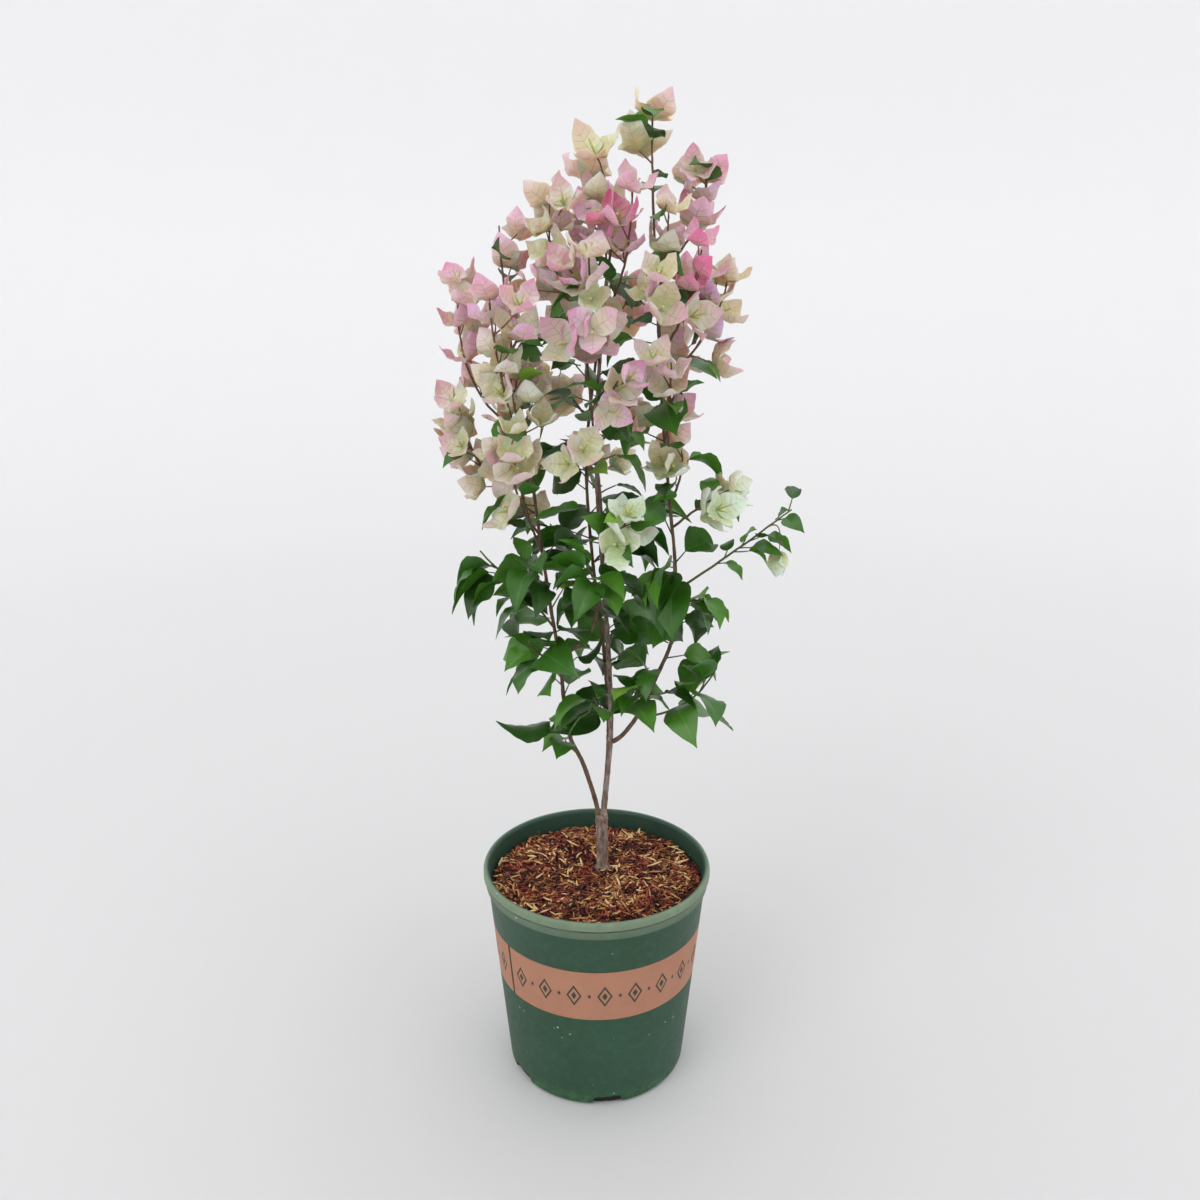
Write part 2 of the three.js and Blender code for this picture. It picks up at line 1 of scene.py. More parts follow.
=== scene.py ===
# A young bougainvillea bush in its nursery pot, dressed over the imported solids.
# The plant is grown by the same rule and the same named sizes as the solids, in millimetres, and is then carried on
# to finer twigs, leaves and blooms. Meshes are written in metres.
import math

import bpy
import numpy as np
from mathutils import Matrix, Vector, noise


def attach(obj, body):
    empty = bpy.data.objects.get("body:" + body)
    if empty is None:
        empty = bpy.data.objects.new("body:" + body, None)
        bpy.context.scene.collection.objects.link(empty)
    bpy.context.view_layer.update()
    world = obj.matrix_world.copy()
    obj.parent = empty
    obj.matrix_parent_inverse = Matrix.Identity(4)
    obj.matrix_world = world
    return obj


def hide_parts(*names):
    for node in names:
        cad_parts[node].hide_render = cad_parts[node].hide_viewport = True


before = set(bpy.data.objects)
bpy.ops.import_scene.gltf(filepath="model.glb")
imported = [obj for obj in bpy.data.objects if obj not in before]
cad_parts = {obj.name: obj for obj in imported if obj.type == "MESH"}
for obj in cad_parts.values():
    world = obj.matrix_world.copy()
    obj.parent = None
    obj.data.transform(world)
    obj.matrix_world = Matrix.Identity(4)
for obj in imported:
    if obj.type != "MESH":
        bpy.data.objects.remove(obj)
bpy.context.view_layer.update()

MM = 0.001

# ---------- Sizes shared with the solids ----------

CLEARANCE = 0.3
POT = dict(height=220, rim=115, mouth=110.4, base=91, wall=2.2, floor=3, corner=6, lip=3, upper=9, lower=19, step=1.6)
NOTCH = dict(width=33, height=11, depth=17, headings=(-56, 6.7, 124, 186.7))
LABEL = dict(bottom=107, top=163, recess=0.8, gap=3, heading=-53.5)
SOIL = dict(level=202, mound=205, edge=199.5, flat=32, mound_radius=66)
TRUNK = dict(foot=(6, 17), lean=(-1, -1), top=263, foot_radius=5.8, top_radius=6.3, flare=3.2)
BOUGHS = {
    "centre_bough": ([(10.6, 17, 306), (14, 16, 351), (12, 12, 430), (6, 8, 520), (0, 5, 620), (3, 3, 720),
                      (11, 0, 800)], (3.5, 1.5)),
    "left_bough": ([(-14, 14, 321), (-26, 12, 348), (-32, 8, 389), (-35, 4, 428), (-44, 0, 490), (-53, -5, 560),
                    (-61, -8, 630), (-70, -8, 690)], (2.6, 1.3)),
    "right_bough": ([(29, 7, 358), (43, 0, 383), (58, -6, 421), (72, -8, 460), (74, -6, 520), (66, -3, 600),
                     (58, 0, 690), (53, 2, 770), (49, 2, 838)], (2.5, 1.2)),
    "back_bough": ([(12, 36, 345), (8, 52, 420), (-4, 60, 520), (-10, 60, 620), (0, 56, 720), (8, 52, 780)],
                   (2.4, 1.2)),
    "front_bough": ([(-26, -10, 446), (-10, -22, 462), (4, -31, 510), (4, -38, 590), (-2, -42, 650),
                     (-8, -42, 715)], (1.9, 1.1)),
}
SEATS = {
    "centre_bough": (2.5, 0),
    "left_bough": (-4.1, 0),
    "right_bough": ("centre_bough", 0.36, (1, -0.4, 0)),
    "back_bough": ("centre_bough", 0.19, (0, 1, 0)),
    "front_bough": ("left_bough", 0.55, (0.6, -1, 0)),
}
BOUGH_STEP = 34

# The sprays of each bough: name, outermost point, how many blooms and leaves, and the tints of the blooms by weight.
CREAM, BLUSH, PINK, HOT, LILAC, WHITE = range(6)
SPRAYS = {
    "right_bough": [
        ("spire_top", (46, -4, 932), 2, 4, (CREAM, BLUSH)),
        ("head_right_top", (104, -4, 884), 6, 1, (PINK, BLUSH, PINK)),
        ("head_right_inner", (60, -62, 850), 6, 1, (BLUSH, PINK, CREAM)),
        ("head_right_low", (50, -88, 796), 6, 1, (BLUSH, CREAM, PINK)),
        ("head_right_front", (92, -62, 824), 6, 1, (PINK, BLUSH, HOT)),
        ("head_right_far", (126, 4, 800), 6, 1, (LILAC, BLUSH, CREAM)),
        ("head_right_back", (84, 72, 806), 6, 2, (PINK, BLUSH)),
        ("middle_right_front", (62, -72, 734), 5, 2, (PINK, BLUSH)),
        ("middle_right_back", (66, 64, 716), 6, 3, (BLUSH, CREAM)),
        ("low_right", (78, -40, 660), 5, 3, (WHITE, CREAM)),
        ("sprig_white", (136, -24, 616), 4, 3, (WHITE,)),
        ("sprig_right", (196, -12, 597), 0, 8, ()),
        ("leaf_right", (114, -26, 520), 0, 6, ()),
        ("leaf_right_front", (66, -74, 562), 1, 6, (WHITE,)),
        ("leaf_right_low", (130, -26, 448), 0, 5, ()),
        ("leaf_right_back", (100, 52, 510), 0, 7, ()),
    ],
    "centre_bough": [
        ("spire_left", (-2, -10, 904), 3, 1, (BLUSH, CREAM)),
        ("head_top", (34, -44, 872), 5, 1, (HOT, PINK)),
        ("head_left_top", (-48, 0, 868), 6, 1, (BLUSH, CREAM)),
        ("head_middle", (-8, -82, 816), 7, 1, (BLUSH, CREAM, PINK)),
        ("leaf_upper", (22, -66, 694), 1, 8, (PINK,)),
        ("leaf_inner", (-16, -52, 530), 0, 6, ()),
        ("leaf_low", (-10, -40, 420), 0, 4, ()),
        ("leaf_middle_low", (54, -50, 436), 0, 5, ()),
    ],
    "left_bough": [
        ("shoulder_left", (-88, 22, 852), 3, 4, (BLUSH, PINK)),
        ("head_left_far", (-130, 4, 804), 6, 1, (PINK, BLUSH)),
        ("head_left_front", (-92, -68, 784), 7, 1, (PINK, BLUSH, CREAM)),
        ("middle_left", (-76, -60, 722), 5, 2, (CREAM, BLUSH)),
        ("left_back", (-90, 68, 750), 6, 2, (BLUSH, PINK)),
        ("low_left_far", (-140, -4, 698), 6, 1, (CREAM, BLUSH)),
        ("low_left_front", (-84, -72, 682), 7, 1, (CREAM, BLUSH, CREAM)),
        ("low_left_back", (-90, 68, 652), 6, 3, (CREAM, BLUSH)),
        ("leaf_left_far", (-124, -20, 560), 0, 5, ()),
        ("leaf_left_front", (-72, -60, 566), 0, 6, ()),
        ("leaf_left_low", (-76, -34, 476), 0, 5, ()),
        ("leaf_left_back", (-88, 50, 520), 0, 7, ()),
    ],
    "front_bough": [
        ("head_front", (0, -92, 758), 7, 2, (PINK, BLUSH)),
        ("middle_front", (26, -94, 716), 6, 2, (PINK, BLUSH)),
        ("low_front", (-26, -90, 666), 7, 2, (BLUSH, CREAM)),
        ("leaf_front", (-12, -84, 560), 0, 6, ()),
        ("bloom_front", (34, -88, 600), 3, 6, (WHITE,)),
    ],
    "back_bough": [
        ("head_back_top", (-4, 64, 860), 7, 1, (BLUSH, PINK)),
        ("head_back_left", (-60, 86, 806), 7, 2, (PINK, BLUSH)),
        ("head_back_right", (44, 94, 792), 7, 2, (BLUSH, PINK)),
        ("middle_back_left", (-54, 104, 712), 6, 2, (BLUSH, CREAM)),
        ("middle_back_right", (44, 108, 698), 6, 2, (BLUSH, PINK)),
        ("low_back", (-8, 118, 636), 6, 4, (CREAM, WHITE)),
        ("leaf_back_left", (-62, 94, 566), 0, 7, ()),
        ("leaf_back_right", (52, 98, 566), 0, 7, ()),
        ("leaf_back_low", (16, 100, 460), 0, 6, ()),
    ],
}

STEM = dict(root=1.6, climb=0.75, steps=4, lift=35, short=22)
TWIG = dict(root=0.6, lengths=(8, 46), lifts=(5, 80))
BLOOM = dict(lengths=(29, 37), width=0.84, opening=(32, 56), widest=0.44, belly=-0.16, curl=-0.1)
LEAF = dict(lengths=(40, 64), width=0.7, petiole=(7, 16), widest=0.36, belly=0.07, curl=0.22)
SMALL_LEAF_SHARE = 0.6
LEAF_SIZES = {"sprig_right": 0.5, "leaf_left_far": 1.12, "leaf_right_low": 1.08, "leaf_low": 0.7,
              "leaf_middle_low": 0.85}
SPACE_MARGIN, LIMB_MARGIN, CROWDING, TWIG_CROWDING = 1, 0.7, 4.8, 3
OVERREACH, LEAST_REACH = 8, 60
TRIES, SMALLEST = 300, 0.8
NEAR = 80

# ---------- Sizes of the finer growth ----------

# What each spray adds after the twigs that the solids have. It may lean a little over the space of the next spray,
# and it keeps clear of what every spray has grown. low is the lowest share of the stem that blooms, from a spray
# over the middle of the pot to one whose tip is as far out as outer.
FINE = dict(bloom_share=1.6, bloom_lengths=(25, 35), low=(0.3, 0.63), outer=130, leaf_share=0.15,
            leaf_lengths=(26, 48), crowding=3, twig_crowding=1.6, margin=-9, tries=140)
# Leaves that grow straight from a bough's bark: the stretch of each bough that has them, by height.
BOUGH_LEAVES = {"centre_bough": (345, 790), "left_bough": (322, 690), "right_bough": (390, 820),
                "back_bough": (400, 700), "front_bough": (470, 712)}
BOUGH_LEAF = dict(step=17, turn=137.5, lengths=(30, 56), petiole=(9, 24), tries=10, reach=120)
# Radii at root and tip, and how deep stems and limbs are rooted in what carries them.
STEM_RADII, BLOOM_STALK, LEAF_STALK, BOUGH_LEAF_STALK = (1.3, 0.75), (0.9, 0.55), (0.75, 0.55), (0.8, 0.6)
STEM_ROOT, LIMB_ROOT, STEM_SWAY = 1.5, 2, 0.8
BRACT_THICKNESS, LEAF_THICKNESS = 0.32, 0.5
OWN_TINT_SHARE = 0.65  # of the bracts, the others take any tint of their spray
FLOWER = dict(share=0.7, reach=(0.34, 0.46), tube=(0.4, 0.75, 0.95, 0.65, 0.8), spread=(0.9, 2.1), notch=0.55)
# The closed bloom that hangs from the sprig at the right: where its thread leaves the stem, and its foot.
HANGING_BUD = dict(share=0.72, foot=(169, -10, 545), thread=(0.8, 0.45), length=25)
# Each step of the finer growth and of the dressing draws from seeds of its own.
SEEDS = dict(finer=500, bough_leaves=700, dressing=900, bough_leaf_dressing=990, hanging_bud=888, notches=300,
             mulch=77)

# ---------- Camera and lights, in metres ----------

CAMERA = dict(sensor=36, lens=30, shift=0.0028, place=(0, -0.9151, 0.746), down=15.339)
# Each light: its place, what it points at, its size and its power.
LIGHTS = {
    "key": ((-1.6, -1.8, 2.6), (0, 0, 0.5), 1.8, 20),
    "fill": ((2.0, -1.6, 1.6), (0, 0, 0.5), 2.2, 7),
    "top": ((0.2, 0.6, 2.8), (0, 0, 0.4), 2.0, 8),
}

# ---------- Small vector tools ----------

UP = np.array((0.0, 0.0, 1.0))


def vec(*xyz):
    return np.array(xyz, float)


def unit(v):
    return v / math.sqrt(v @ v)


def mix(a, b, t):
    return a + (b - a) * t


def cross(a, b):
    (ax, ay, az), (bx, by, bz) = a.tolist(), b.tolist()
    return np.array((ay * bz - az * by, az * bx - ax * bz, ax * by - ay * bx))


def square_to(v, axis):
    return unit(v - axis * (v @ axis))


def turned_about(v, axis, angle):
    c, s = math.cos(angle), math.sin(angle)
    return v * c + cross(axis, v) * s + axis * (axis @ v) * (1 - c)


def seeded(seed):
    state = (seed * 2654435761) & 0xFFFFFFFF

    def draw():
        nonlocal state
        state = (state * 1664525 + 1013904223) & 0xFFFFFFFF
        return state / 4294967296

    return draw


# ---------- Limbs, as in the solids ----------


def curve_point(points, t):
    """A point of the centripetal Catmull-Rom curve through the points, at t from 0 to 1."""
    last = len(points) - 1
    at = last * t
    i = min(int(at), last - 1)
    weight = at - i
    p1, p2 = points[i], points[i + 1]
    p0 = points[i - 1] if i > 0 else 2 * points[0] - points[1]
    p3 = points[i + 2] if i + 2 <= last else 2 * points[last] - points[last - 1]
    d0, d1, d2 = (((a - b) @ (a - b)) ** 0.25 for a, b in ((p0, p1), (p1, p2), (p2, p3)))
    t1 = ((p1 - p0) / d0 - (p2 - p0) / (d0 + d1) + (p2 - p1) / d1) * d1
    t2 = ((p2 - p1) / d1 - (p3 - p1) / (d1 + d2) + (p3 - p2) / d2) * d1
    return p1 + t1 * weight + (3 * (p2 - p1) - 2 * t1 - t2) * weight**2 + (2 * (p1 - p2) + t1 + t2) * weight**3


def limb_along(points, radii, step, flare=0.0):
    length = sum(
        math.dist(curve_point(points, i / 200), curve_point(points, (i + 1) / 200)) for i in range(200)
    )
    count = max(3, math.floor(length / step + 0.5))
    path = np.array([curve_point(points, i / count) for i in range(count + 1)])
    return dict(path=path, radii=radii, points=points, length=length, flare=flare)


def along_path(path, share):
    scaled = min(max(share, 0), 0.999999) * (len(path) - 1)
    i = int(scaled)
    return path[i] + (path[i + 1] - path[i]) * (scaled - i), unit(path[i + 1] - path[i])


def limb_at(limb, share):
    place, along = along_path(limb["path"], share)
    first = limb["radii"][0] + limb["flare"]
    last = limb["radii"][1] + limb["flare"] * math.exp(-6)
    return place, along, mix(first, last, share)


def seat_on(parent, at, toward, radius, lift):
    place, along, parent_radius = limb_at(parent, at)
    out = square_to(toward, along)
    leave = out * math.cos(math.radians(lift)) + along * math.sin(math.radians(lift))
    return place + out * (0.95 * parent_radius + CLEARANCE + 0.68 * radius), leave


def make_limbs():
    x, y = TRUNK["foot"]
    dx, dy = TRUNK["lean"]
    low, top = SOIL["level"] + CLEARANCE, TRUNK["top"]
    way = [vec(x, y, low), vec(x, y, low + 4), vec(x + dx, y + dy, top - 4), vec(x + dx, y + dy, top)]
    trunk = limb_along(way, (TRUNK["foot_radius"], TRUNK["top_radius"]), 9, TRUNK["flare"])
    boughs = {}
    for name, (way, radii) in BOUGHS.items():
        seat = SEATS[name]
        if len(seat) == 2:
            start, leave = vec(x + dx + seat[0], y + dy + seat[1], top + CLEARANCE), UP
        else:
            parent, at, toward = seat
            start, leave = seat_on(boughs[parent], at, vec(*toward), radii[0], 40)
        boughs[name] = limb_along([start, start + leave * 5, *(vec(*p) for p in way)], radii, BOUGH_STEP)
    return trunk, boughs


# ---------- Sprays, as in the solids, then finer ----------


def root_share(bough, tip, rank):
    best, least, share = 1, math.inf, 0.04
    while share <= 0.97 - 0.03 * rank:
        place, _, _ = limb_at(bough, share)
        miss = abs(tip[2] - place[2] - STEM["climb"] * math.hypot(tip[0] - place[0], tip[1] - place[1]))
        if miss < least:
            least, best = miss, share
        share += 0.01
    return best


def make_stem(bough, tip, rank):
    share = 1 if rank == 0 else root_share(bough, tip, rank)
    place, along, _ = limb_at(bough, share)
    if rank == 0:
        start, leave = place + along * CLEARANCE, along
    else:
        start, leave = seat_on(bough, share, tip - place, STEM["root"], STEM["lift"])
    reach = math.dist(tip, start)
    stop = tip + (start - tip) * STEM["short"] / reach
    return start, start + leave * 0.45 * reach, stop


def bezier(stem, count):
    a, b, c = stem
    t = np.linspace(0, 1, count + 1)[:, None]
    return (1 - t) ** 2 * a + 2 * (1 - t) * t * b + t**2 * c


def distances(places, starts, ways, squares):
    """The distance from each place to each straight stretch."""
    off = places[:, None] - starts
    share = np.clip((off * ways).sum(2) / squares, 0, 1)
    return np.linalg.norm(off - share[..., None] * ways, axis=2)


def blade_pattern(kind):
    """The places that stand for a blade, as shares of its length forward, to the side and towards its face."""
    corners = [vec(0, 0, 0), vec(kind["widest"], kind["width"] / 2, kind["belly"] / 2), vec(1, 0, -kind["curl"]),
               vec(kind["widest"], -kind["width"] / 2, kind["belly"] / 2)]
    middle = vec(kind["widest"], 0, kind["belly"])
    places = corners + [middle]
    for at, following in zip(corners, corners[1:] + corners[:1]):
        places += [(at + following) / 2, (at + middle) / 2]
    return np.array(places)


def blade_at(root, forward, face, length, kind):
    side = cross(forward, face)
    places = root + length * (kind["pattern"] @ np.array((forward, side, face)))
    return dict(root=root, forward=forward, face=face, side=side, length=length, width=length * kind["width"],
                places=places)


for blade_kind in (BLOOM, LEAF):
    blade_kind["pattern"] = blade_pattern(blade_kind)


class Spray:
    """One spray of the bush: its stem, its space and the twigs that grow in it."""

    def __init__(self, row, bough, rank, seed):
        self.name, tip, self.blooms, self.leaves, self.tints = row
        self.tip = vec(*tip)
        self.stem = make_stem(bough, self.tip, rank)
        self.path = bezier(self.stem, STEM["steps"])
        self.seed = seed
        self.leaf_scale = LEAF_SIZES.get(self.name, SMALL_LEAF_SHARE if self.blooms > 1 else 1)
        self.twigs = []
        self.taken = np.empty((0, 3))
        self.crowding, self.twig_crowding, self.margin = CROWDING, TWIG_CROWDING, SPACE_MARGIN

    def know(self, sprays, limb_places, limb_radii):
        starts = np.concatenate([s.path[:-1] for s in sprays])
        ways = np.concatenate([np.diff(s.path, axis=0) for s in sprays])
        self.stretches = starts, ways, (ways**2).sum(1)
        at = sprays.index(self) * STEM["steps"]
        self.mine = slice(at, at + STEM["steps"])
        self.limb_places, self.limb_room = limb_places, limb_radii + LIMB_MARGIN
        self.reach = max(math.hypot(self.tip[0], self.tip[1]), LEAST_REACH) + OVERREACH

    def clear_of_limbs(self, forward, side, face, root, length, width, depth):
        off = self.limb_places - root
        along, room = off @ forward, self.limb_room
        near = (along >= -room) & (along <= length + room) & (abs(off @ side) <= width / 2 + room)
        return not (near & (abs(off @ face) < depth + room)).any()

    def fits(self, start, end, blades):
        places = np.concatenate([b["places"] for b in blades])
        over = (places[:, 2] >= self.tip[2] + OVERREACH) | (np.hypot(places[:, 0], places[:, 1]) >= self.reach)
        if over.any():
            return False
        twig_places = np.array([start + (end - start) * share for share in (0.4, 0.7)])
        near = self.taken[(np.abs(self.taken - end) < NEAR).all(1)]
        for some, room in ((places, self.crowding), (twig_places, self.twig_crowding)):
            off = some[:, None] - near
            if ((off * off).sum(2) <= room * room).any():
                return False
        apart = distances(places, *self.stretches)
        own = apart[:, self.mine].min(1) + self.margin
        apart[:, self.mine] = math.inf
        if (apart.min(1) <= own).any():
            return False
        for b in blades:
            if not self.clear_of_limbs(b["forward"], b["side"], b["face"], b["root"], b["length"], b["width"],
                                       b["length"] * 0.2):
                return False
        forward, length = unit(end - start), math.dist(end, start)
        side = square_to(vec(0.3, 0.4, 0.9), forward)
        root = TWIG["root"]
        return self.clear_of_limbs(forward, side, cross(forward, side), start, length, root * 2, root)

    def keep(self, kind, start, end, axis, blades):
        self.twigs.append(dict(kind=kind, start=start, end=end, axis=axis, blades=blades))
        twig_places = [start + (end - start) * share for share in (0.5, 0.9)]
        self.taken = np.concatenate([self.taken, *(b["places"] for b in blades), twig_places])

    def sideways(self, share, angle, pull):
        place, along = along_path(self.path, share)
        across = square_to(vec(0.2, 0.1, 1), along)
        other = cross(along, across)
        outward = unit(vec(place[0], place[1], 0))
        out = unit(across * math.cos(angle) + other * math.sin(angle) + outward * pull)
        return place, along, out, outward

    def grow_bloom(self, draw, leader, lengths, tries, low=0.3):
        for attempt in range(tries):
            share = 0.97 if leader else mix(low, 0.97, draw())
            start, along, out, outward = self.sideways(share, draw() * 2 * math.pi, 0.35)
            lift = math.radians(80 if leader else mix(*TWIG["lifts"], draw()))
            way = unit(out * math.cos(lift) + along * math.sin(lift))
            end = start + way * mix(*TWIG["lengths"], draw()) * (0.35 if leader else 1)
            axis = unit(way * 0.6 + UP * 0.45 + outward * 0.55 + out * 0.5 * draw())
            length = mix(*lengths, draw()) * mix(1, SMALLEST, attempt / tries)
            opening = math.radians(mix(*BLOOM["opening"], draw()))
            first = turned_about(square_to(vec(0.6, 0.7, 0.3), axis), axis, draw() * 2.1)
            blades = []
            for k in range(3):
                ray = turned_about(first, axis, k * 2 * math.pi / 3)
                forward = axis * math.cos(opening) + ray * math.sin(opening)
                face = axis * math.sin(opening) - ray * math.cos(opening)
                blades.append(blade_at(end, forward, face, length, BLOOM))
            if self.fits(start, end, blades):
                return self.keep("bloom", start, end, axis, blades)

    def grow_leaf(self, draw, lengths, tries):
        for attempt in range(tries):
            start, along, out, _ = self.sideways(mix(0.12, 0.97, draw()), draw() * 2 * math.pi, 0.45)
            way = unit(out * 0.8 + along * 0.5 + UP * 0.25)
            end = start + way * mix(*LEAF["petiole"], draw())
            droop = mix(-0.55, 0.5, draw())
            axis = unit(out + way * 0.35 - UP * droop)
            face = turned_about(square_to(UP + out * 0.8, axis), axis, (draw() - 0.5) * 1.1)
            length = mix(*lengths, draw()) * mix(1, SMALLEST, attempt / tries) * self.leaf_scale
            blades = [blade_at(end, axis, face, length, LEAF)]
            if self.fits(start, end, blades):
                return self.keep("leaf", start, end, axis, blades)

    def grow(self):
        draw = seeded(self.seed)
        for n in range(self.blooms):
            self.grow_bloom(draw, n == 0, BLOOM["lengths"], 2 * TRIES)
        for _ in range(self.leaves):
            self.grow_leaf(draw, LEAF["lengths"], TRIES)

    def grow_finer(self, all_taken):
        draw = seeded(self.seed + SEEDS["finer"])
        self.taken = all_taken
        self.crowding, self.twig_crowding, self.margin = FINE["crowding"], FINE["twig_crowding"], FINE["margin"]
        low = mix(*FINE["low"], min(1, abs(self.tip[0]) / FINE["outer"]))
        for _ in range(self.blooms // 3 if self.blooms < 5 else round(self.blooms * FINE["bloom_share"])):
            self.grow_bloom(draw, False, FINE["bloom_lengths"], FINE["tries"], low)
        for _ in range(round(self.leaves * FINE["leaf_share"]) + (self.leaves > 3)):
            self.grow_leaf(draw, FINE["leaf_lengths"], FINE["tries"])
        return self.taken


def make_sprays(trunk, boughs):
    sprays = []
    for bough, rows in SPRAYS.items():
        for rank, row in enumerate(rows):
            sprays.append(Spray(row, boughs[bough], rank, len(sprays) + 1))
    places, radii = [], []
    for limb in (trunk, *boughs.values()):
        count = 12 * len(limb["path"])
        for i in range(count + 1):
            place, _, radius = limb_at(limb, i / count)
            places.append(place)
            radii.append(radius)
    for spray in sprays:
        spray.know(sprays, np.array(places), np.array(radii))
        spray.grow()
    taken = np.concatenate([spray.taken for spray in sprays])
    for spray in sprays:
        taken = spray.grow_finer(taken)
    return sprays, taken


def grow_bough_leaves(boughs, taken):
    """Leaves set spirally up the boughs, each where it has room. They keep to the reach of the solid ones."""
    leaves = []
    for number, (name, (low, high)) in enumerate(BOUGH_LEAVES.items()):
        draw, bough = seeded(SEEDS["bough_leaves"] + number), boughs[name]
        count = int(bough["length"] / BOUGH_LEAF["step"])
        for n in range(count):
            place, along, radius = limb_at(bough, (n + 0.5) / count)
            if not low < place[2] < high:
                continue
            for attempt in range(BOUGH_LEAF["tries"]):
                turn = math.radians(n * BOUGH_LEAF["turn"] + (draw() - 0.5) * 90)
                out = turned_about(square_to(vec(1, 0.2, 0.1), along), along, turn)
                way = unit(out + along * mix(0.2, 1.1, draw()))
                start = place + out * radius * 0.8
                end = start + way * (mix(*BOUGH_LEAF["petiole"], draw()) + radius)
                axis = unit(out + way * 0.3 - UP * mix(-0.3, 0.9, draw()))
                face = turned_about(square_to(UP * mix(0.2, 1, draw()) + out, axis), axis, (draw() - 0.5) * 1.4)
                length = mix(*BOUGH_LEAF["lengths"], draw()) * mix(1, 0.6, attempt / BOUGH_LEAF["tries"])
                blade = blade_at(end, axis, face, length, LEAF)
                near = taken[(np.abs(taken - end) < NEAR).all(1)]
                off = blade["places"][1:, None] - near
                within = np.hypot(*blade["places"][2][:2]) < BOUGH_LEAF["reach"]
                if (off * off).sum(2).min() > FINE["crowding"] ** 2 and within:
                    leaves.append(dict(start=start, end=end, blade=blade))
                    taken = np.concatenate([taken, blade["places"]])
                    break
    return leaves


# ---------- Meshes ----------


def new_mesh(name, points, faces):
    mesh = bpy.data.meshes.new(name)
    mesh.from_pydata(points, [], faces)
    mesh.polygons.foreach_set("use_smooth", [True] * len(faces))
    return mesh


def link(name, data):
    obj = bpy.data.objects.new(name, data)
    bpy.context.collection.objects.link(obj)
    return obj


def circle(r, z, sides):
    """The points of a level ring about the pot's axis."""
    return [(r * math.cos(t), r * math.sin(t), z) for t in np.arange(sides) * 2 * math.pi / sides]


def ring_faces(first, rings, sides):
    """The faces between rings of points that follow each other from the point with the number first."""
    faces = []
    for start in range(first, first + (rings - 1) * sides, sides):
        for k in range(sides):
            a, b = start + k, start + (k + 1) % sides
            faces.append((a, b, b + sides, a + sides))
    return faces


def closed_faces(first, rings, sides, low, high):
    """As ring_faces, with the first ring closed by the point low and the last one by the point high."""
    faces, last = ring_faces(first, rings, sides), first + (rings - 1) * sides
    for k in range(sides):
        n = (k + 1) % sides
        faces += [(low, first + n, first + k), (high, last + k, last + n)]
    return faces


class Build:
    """Collects points and faces of one piece, each face with its material's number."""

    def __init__(self):
        self.points, self.faces, self.slots, self.count = [], [], [], 0

    def add(self, points, faces, slots):
        points = np.asarray(points, float).reshape(-1, 3)
        self.points.append(points)
        self.faces += [tuple(i + self.count for i in face) for face in faces]
        self.slots += [slots] * len(faces) if isinstance(slots, int) else list(slots)
        self.count += len(points)

    def object(self, name, materials, slot, replaced=(), sharp=None):
        mesh = new_mesh(name, (np.concatenate(self.points) * MM).tolist(), self.faces)
        for material in materials:
            mesh.materials.append(material)
        mesh.polygons.foreach_set("material_index", self.slots)
        if sharp is not None:
            mesh.set_sharp_from_angle(angle=math.radians(sharp))
        mesh.update()
        obj = link(name, mesh)
        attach(obj, "root")
        if replaced:
            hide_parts(*replaced)
        return obj


def tube(build, path, radii, sides, slot=0, relief=None):
    """A closed round limb along a path. relief(turn, place) gives how far its surface stands out."""
    path = np.asarray(path, float)
    count = len(path)
    along = np.gradient(path, axis=0)
    along /= np.linalg.norm(along, axis=1)[:, None]
    across = square_to(vec(1, 0.3, 0.2), along[0])
    turns = np.arange(sides) * 2 * math.pi / sides
    points = []
    for i in range(count):
        across = square_to(across, along[i])
        other = cross(along[i], across)
        ring = across * np.cos(turns)[:, None] + other * np.sin(turns)[:, None]
        radius = np.full(sides, radii[i], float)
        if relief:
            radius += [relief(turn, path[i] + way * radii[i]) for turn, way in zip(turns, ring)]
        points.append(path[i] + ring * radius[:, None])
    points += [path[:1], path[-1:]]
    build.add(np.concatenate(points), closed_faces(0, count, sides, count * sides, count * sides + 1), slot)


def shell(build, grid, thickness, slot_of):
    """A thin closed sheet from a grid of points. Its two skins meet at its edge."""
    rows, columns = grid.shape[:2]
    du, dv = np.gradient(grid, axis=0), np.gradient(grid, axis=1)
    normal = np.cross(du, dv)
    normal /= np.maximum(np.linalg.norm(normal, axis=2), 1e-9)[..., None]
    half = np.full((rows, columns), thickness / 2)
    half[[0, -1]] = 0
    half[:, [0, -1]] = 0
    upper = grid + normal * half[..., None]
    lower = (grid - normal * half[..., None])[1:-1, 1:-1]
    inner = np.arange(rows * columns).reshape(rows, columns)
    under = inner.copy()
    under[1:-1, 1:-1] = rows * columns + np.arange((rows - 2) * (columns - 2)).reshape(rows - 2, columns - 2)
    faces, slots = [], []
    for i in range(rows - 1):
        for j in range(columns - 1):
            slot = slot_of(i, j)
            faces.append((inner[i, j], inner[i + 1, j], inner[i + 1, j + 1], inner[i, j + 1]))
            faces.append((under[i, j], under[i, j + 1], under[i + 1, j + 1], under[i + 1, j]))
            slots += [slot, slot]
    skins = np.concatenate([upper.reshape(-1, 3), lower.reshape(-1, 3)])
    build.add(skins, [tuple(map(int, f)) for f in faces], slots)


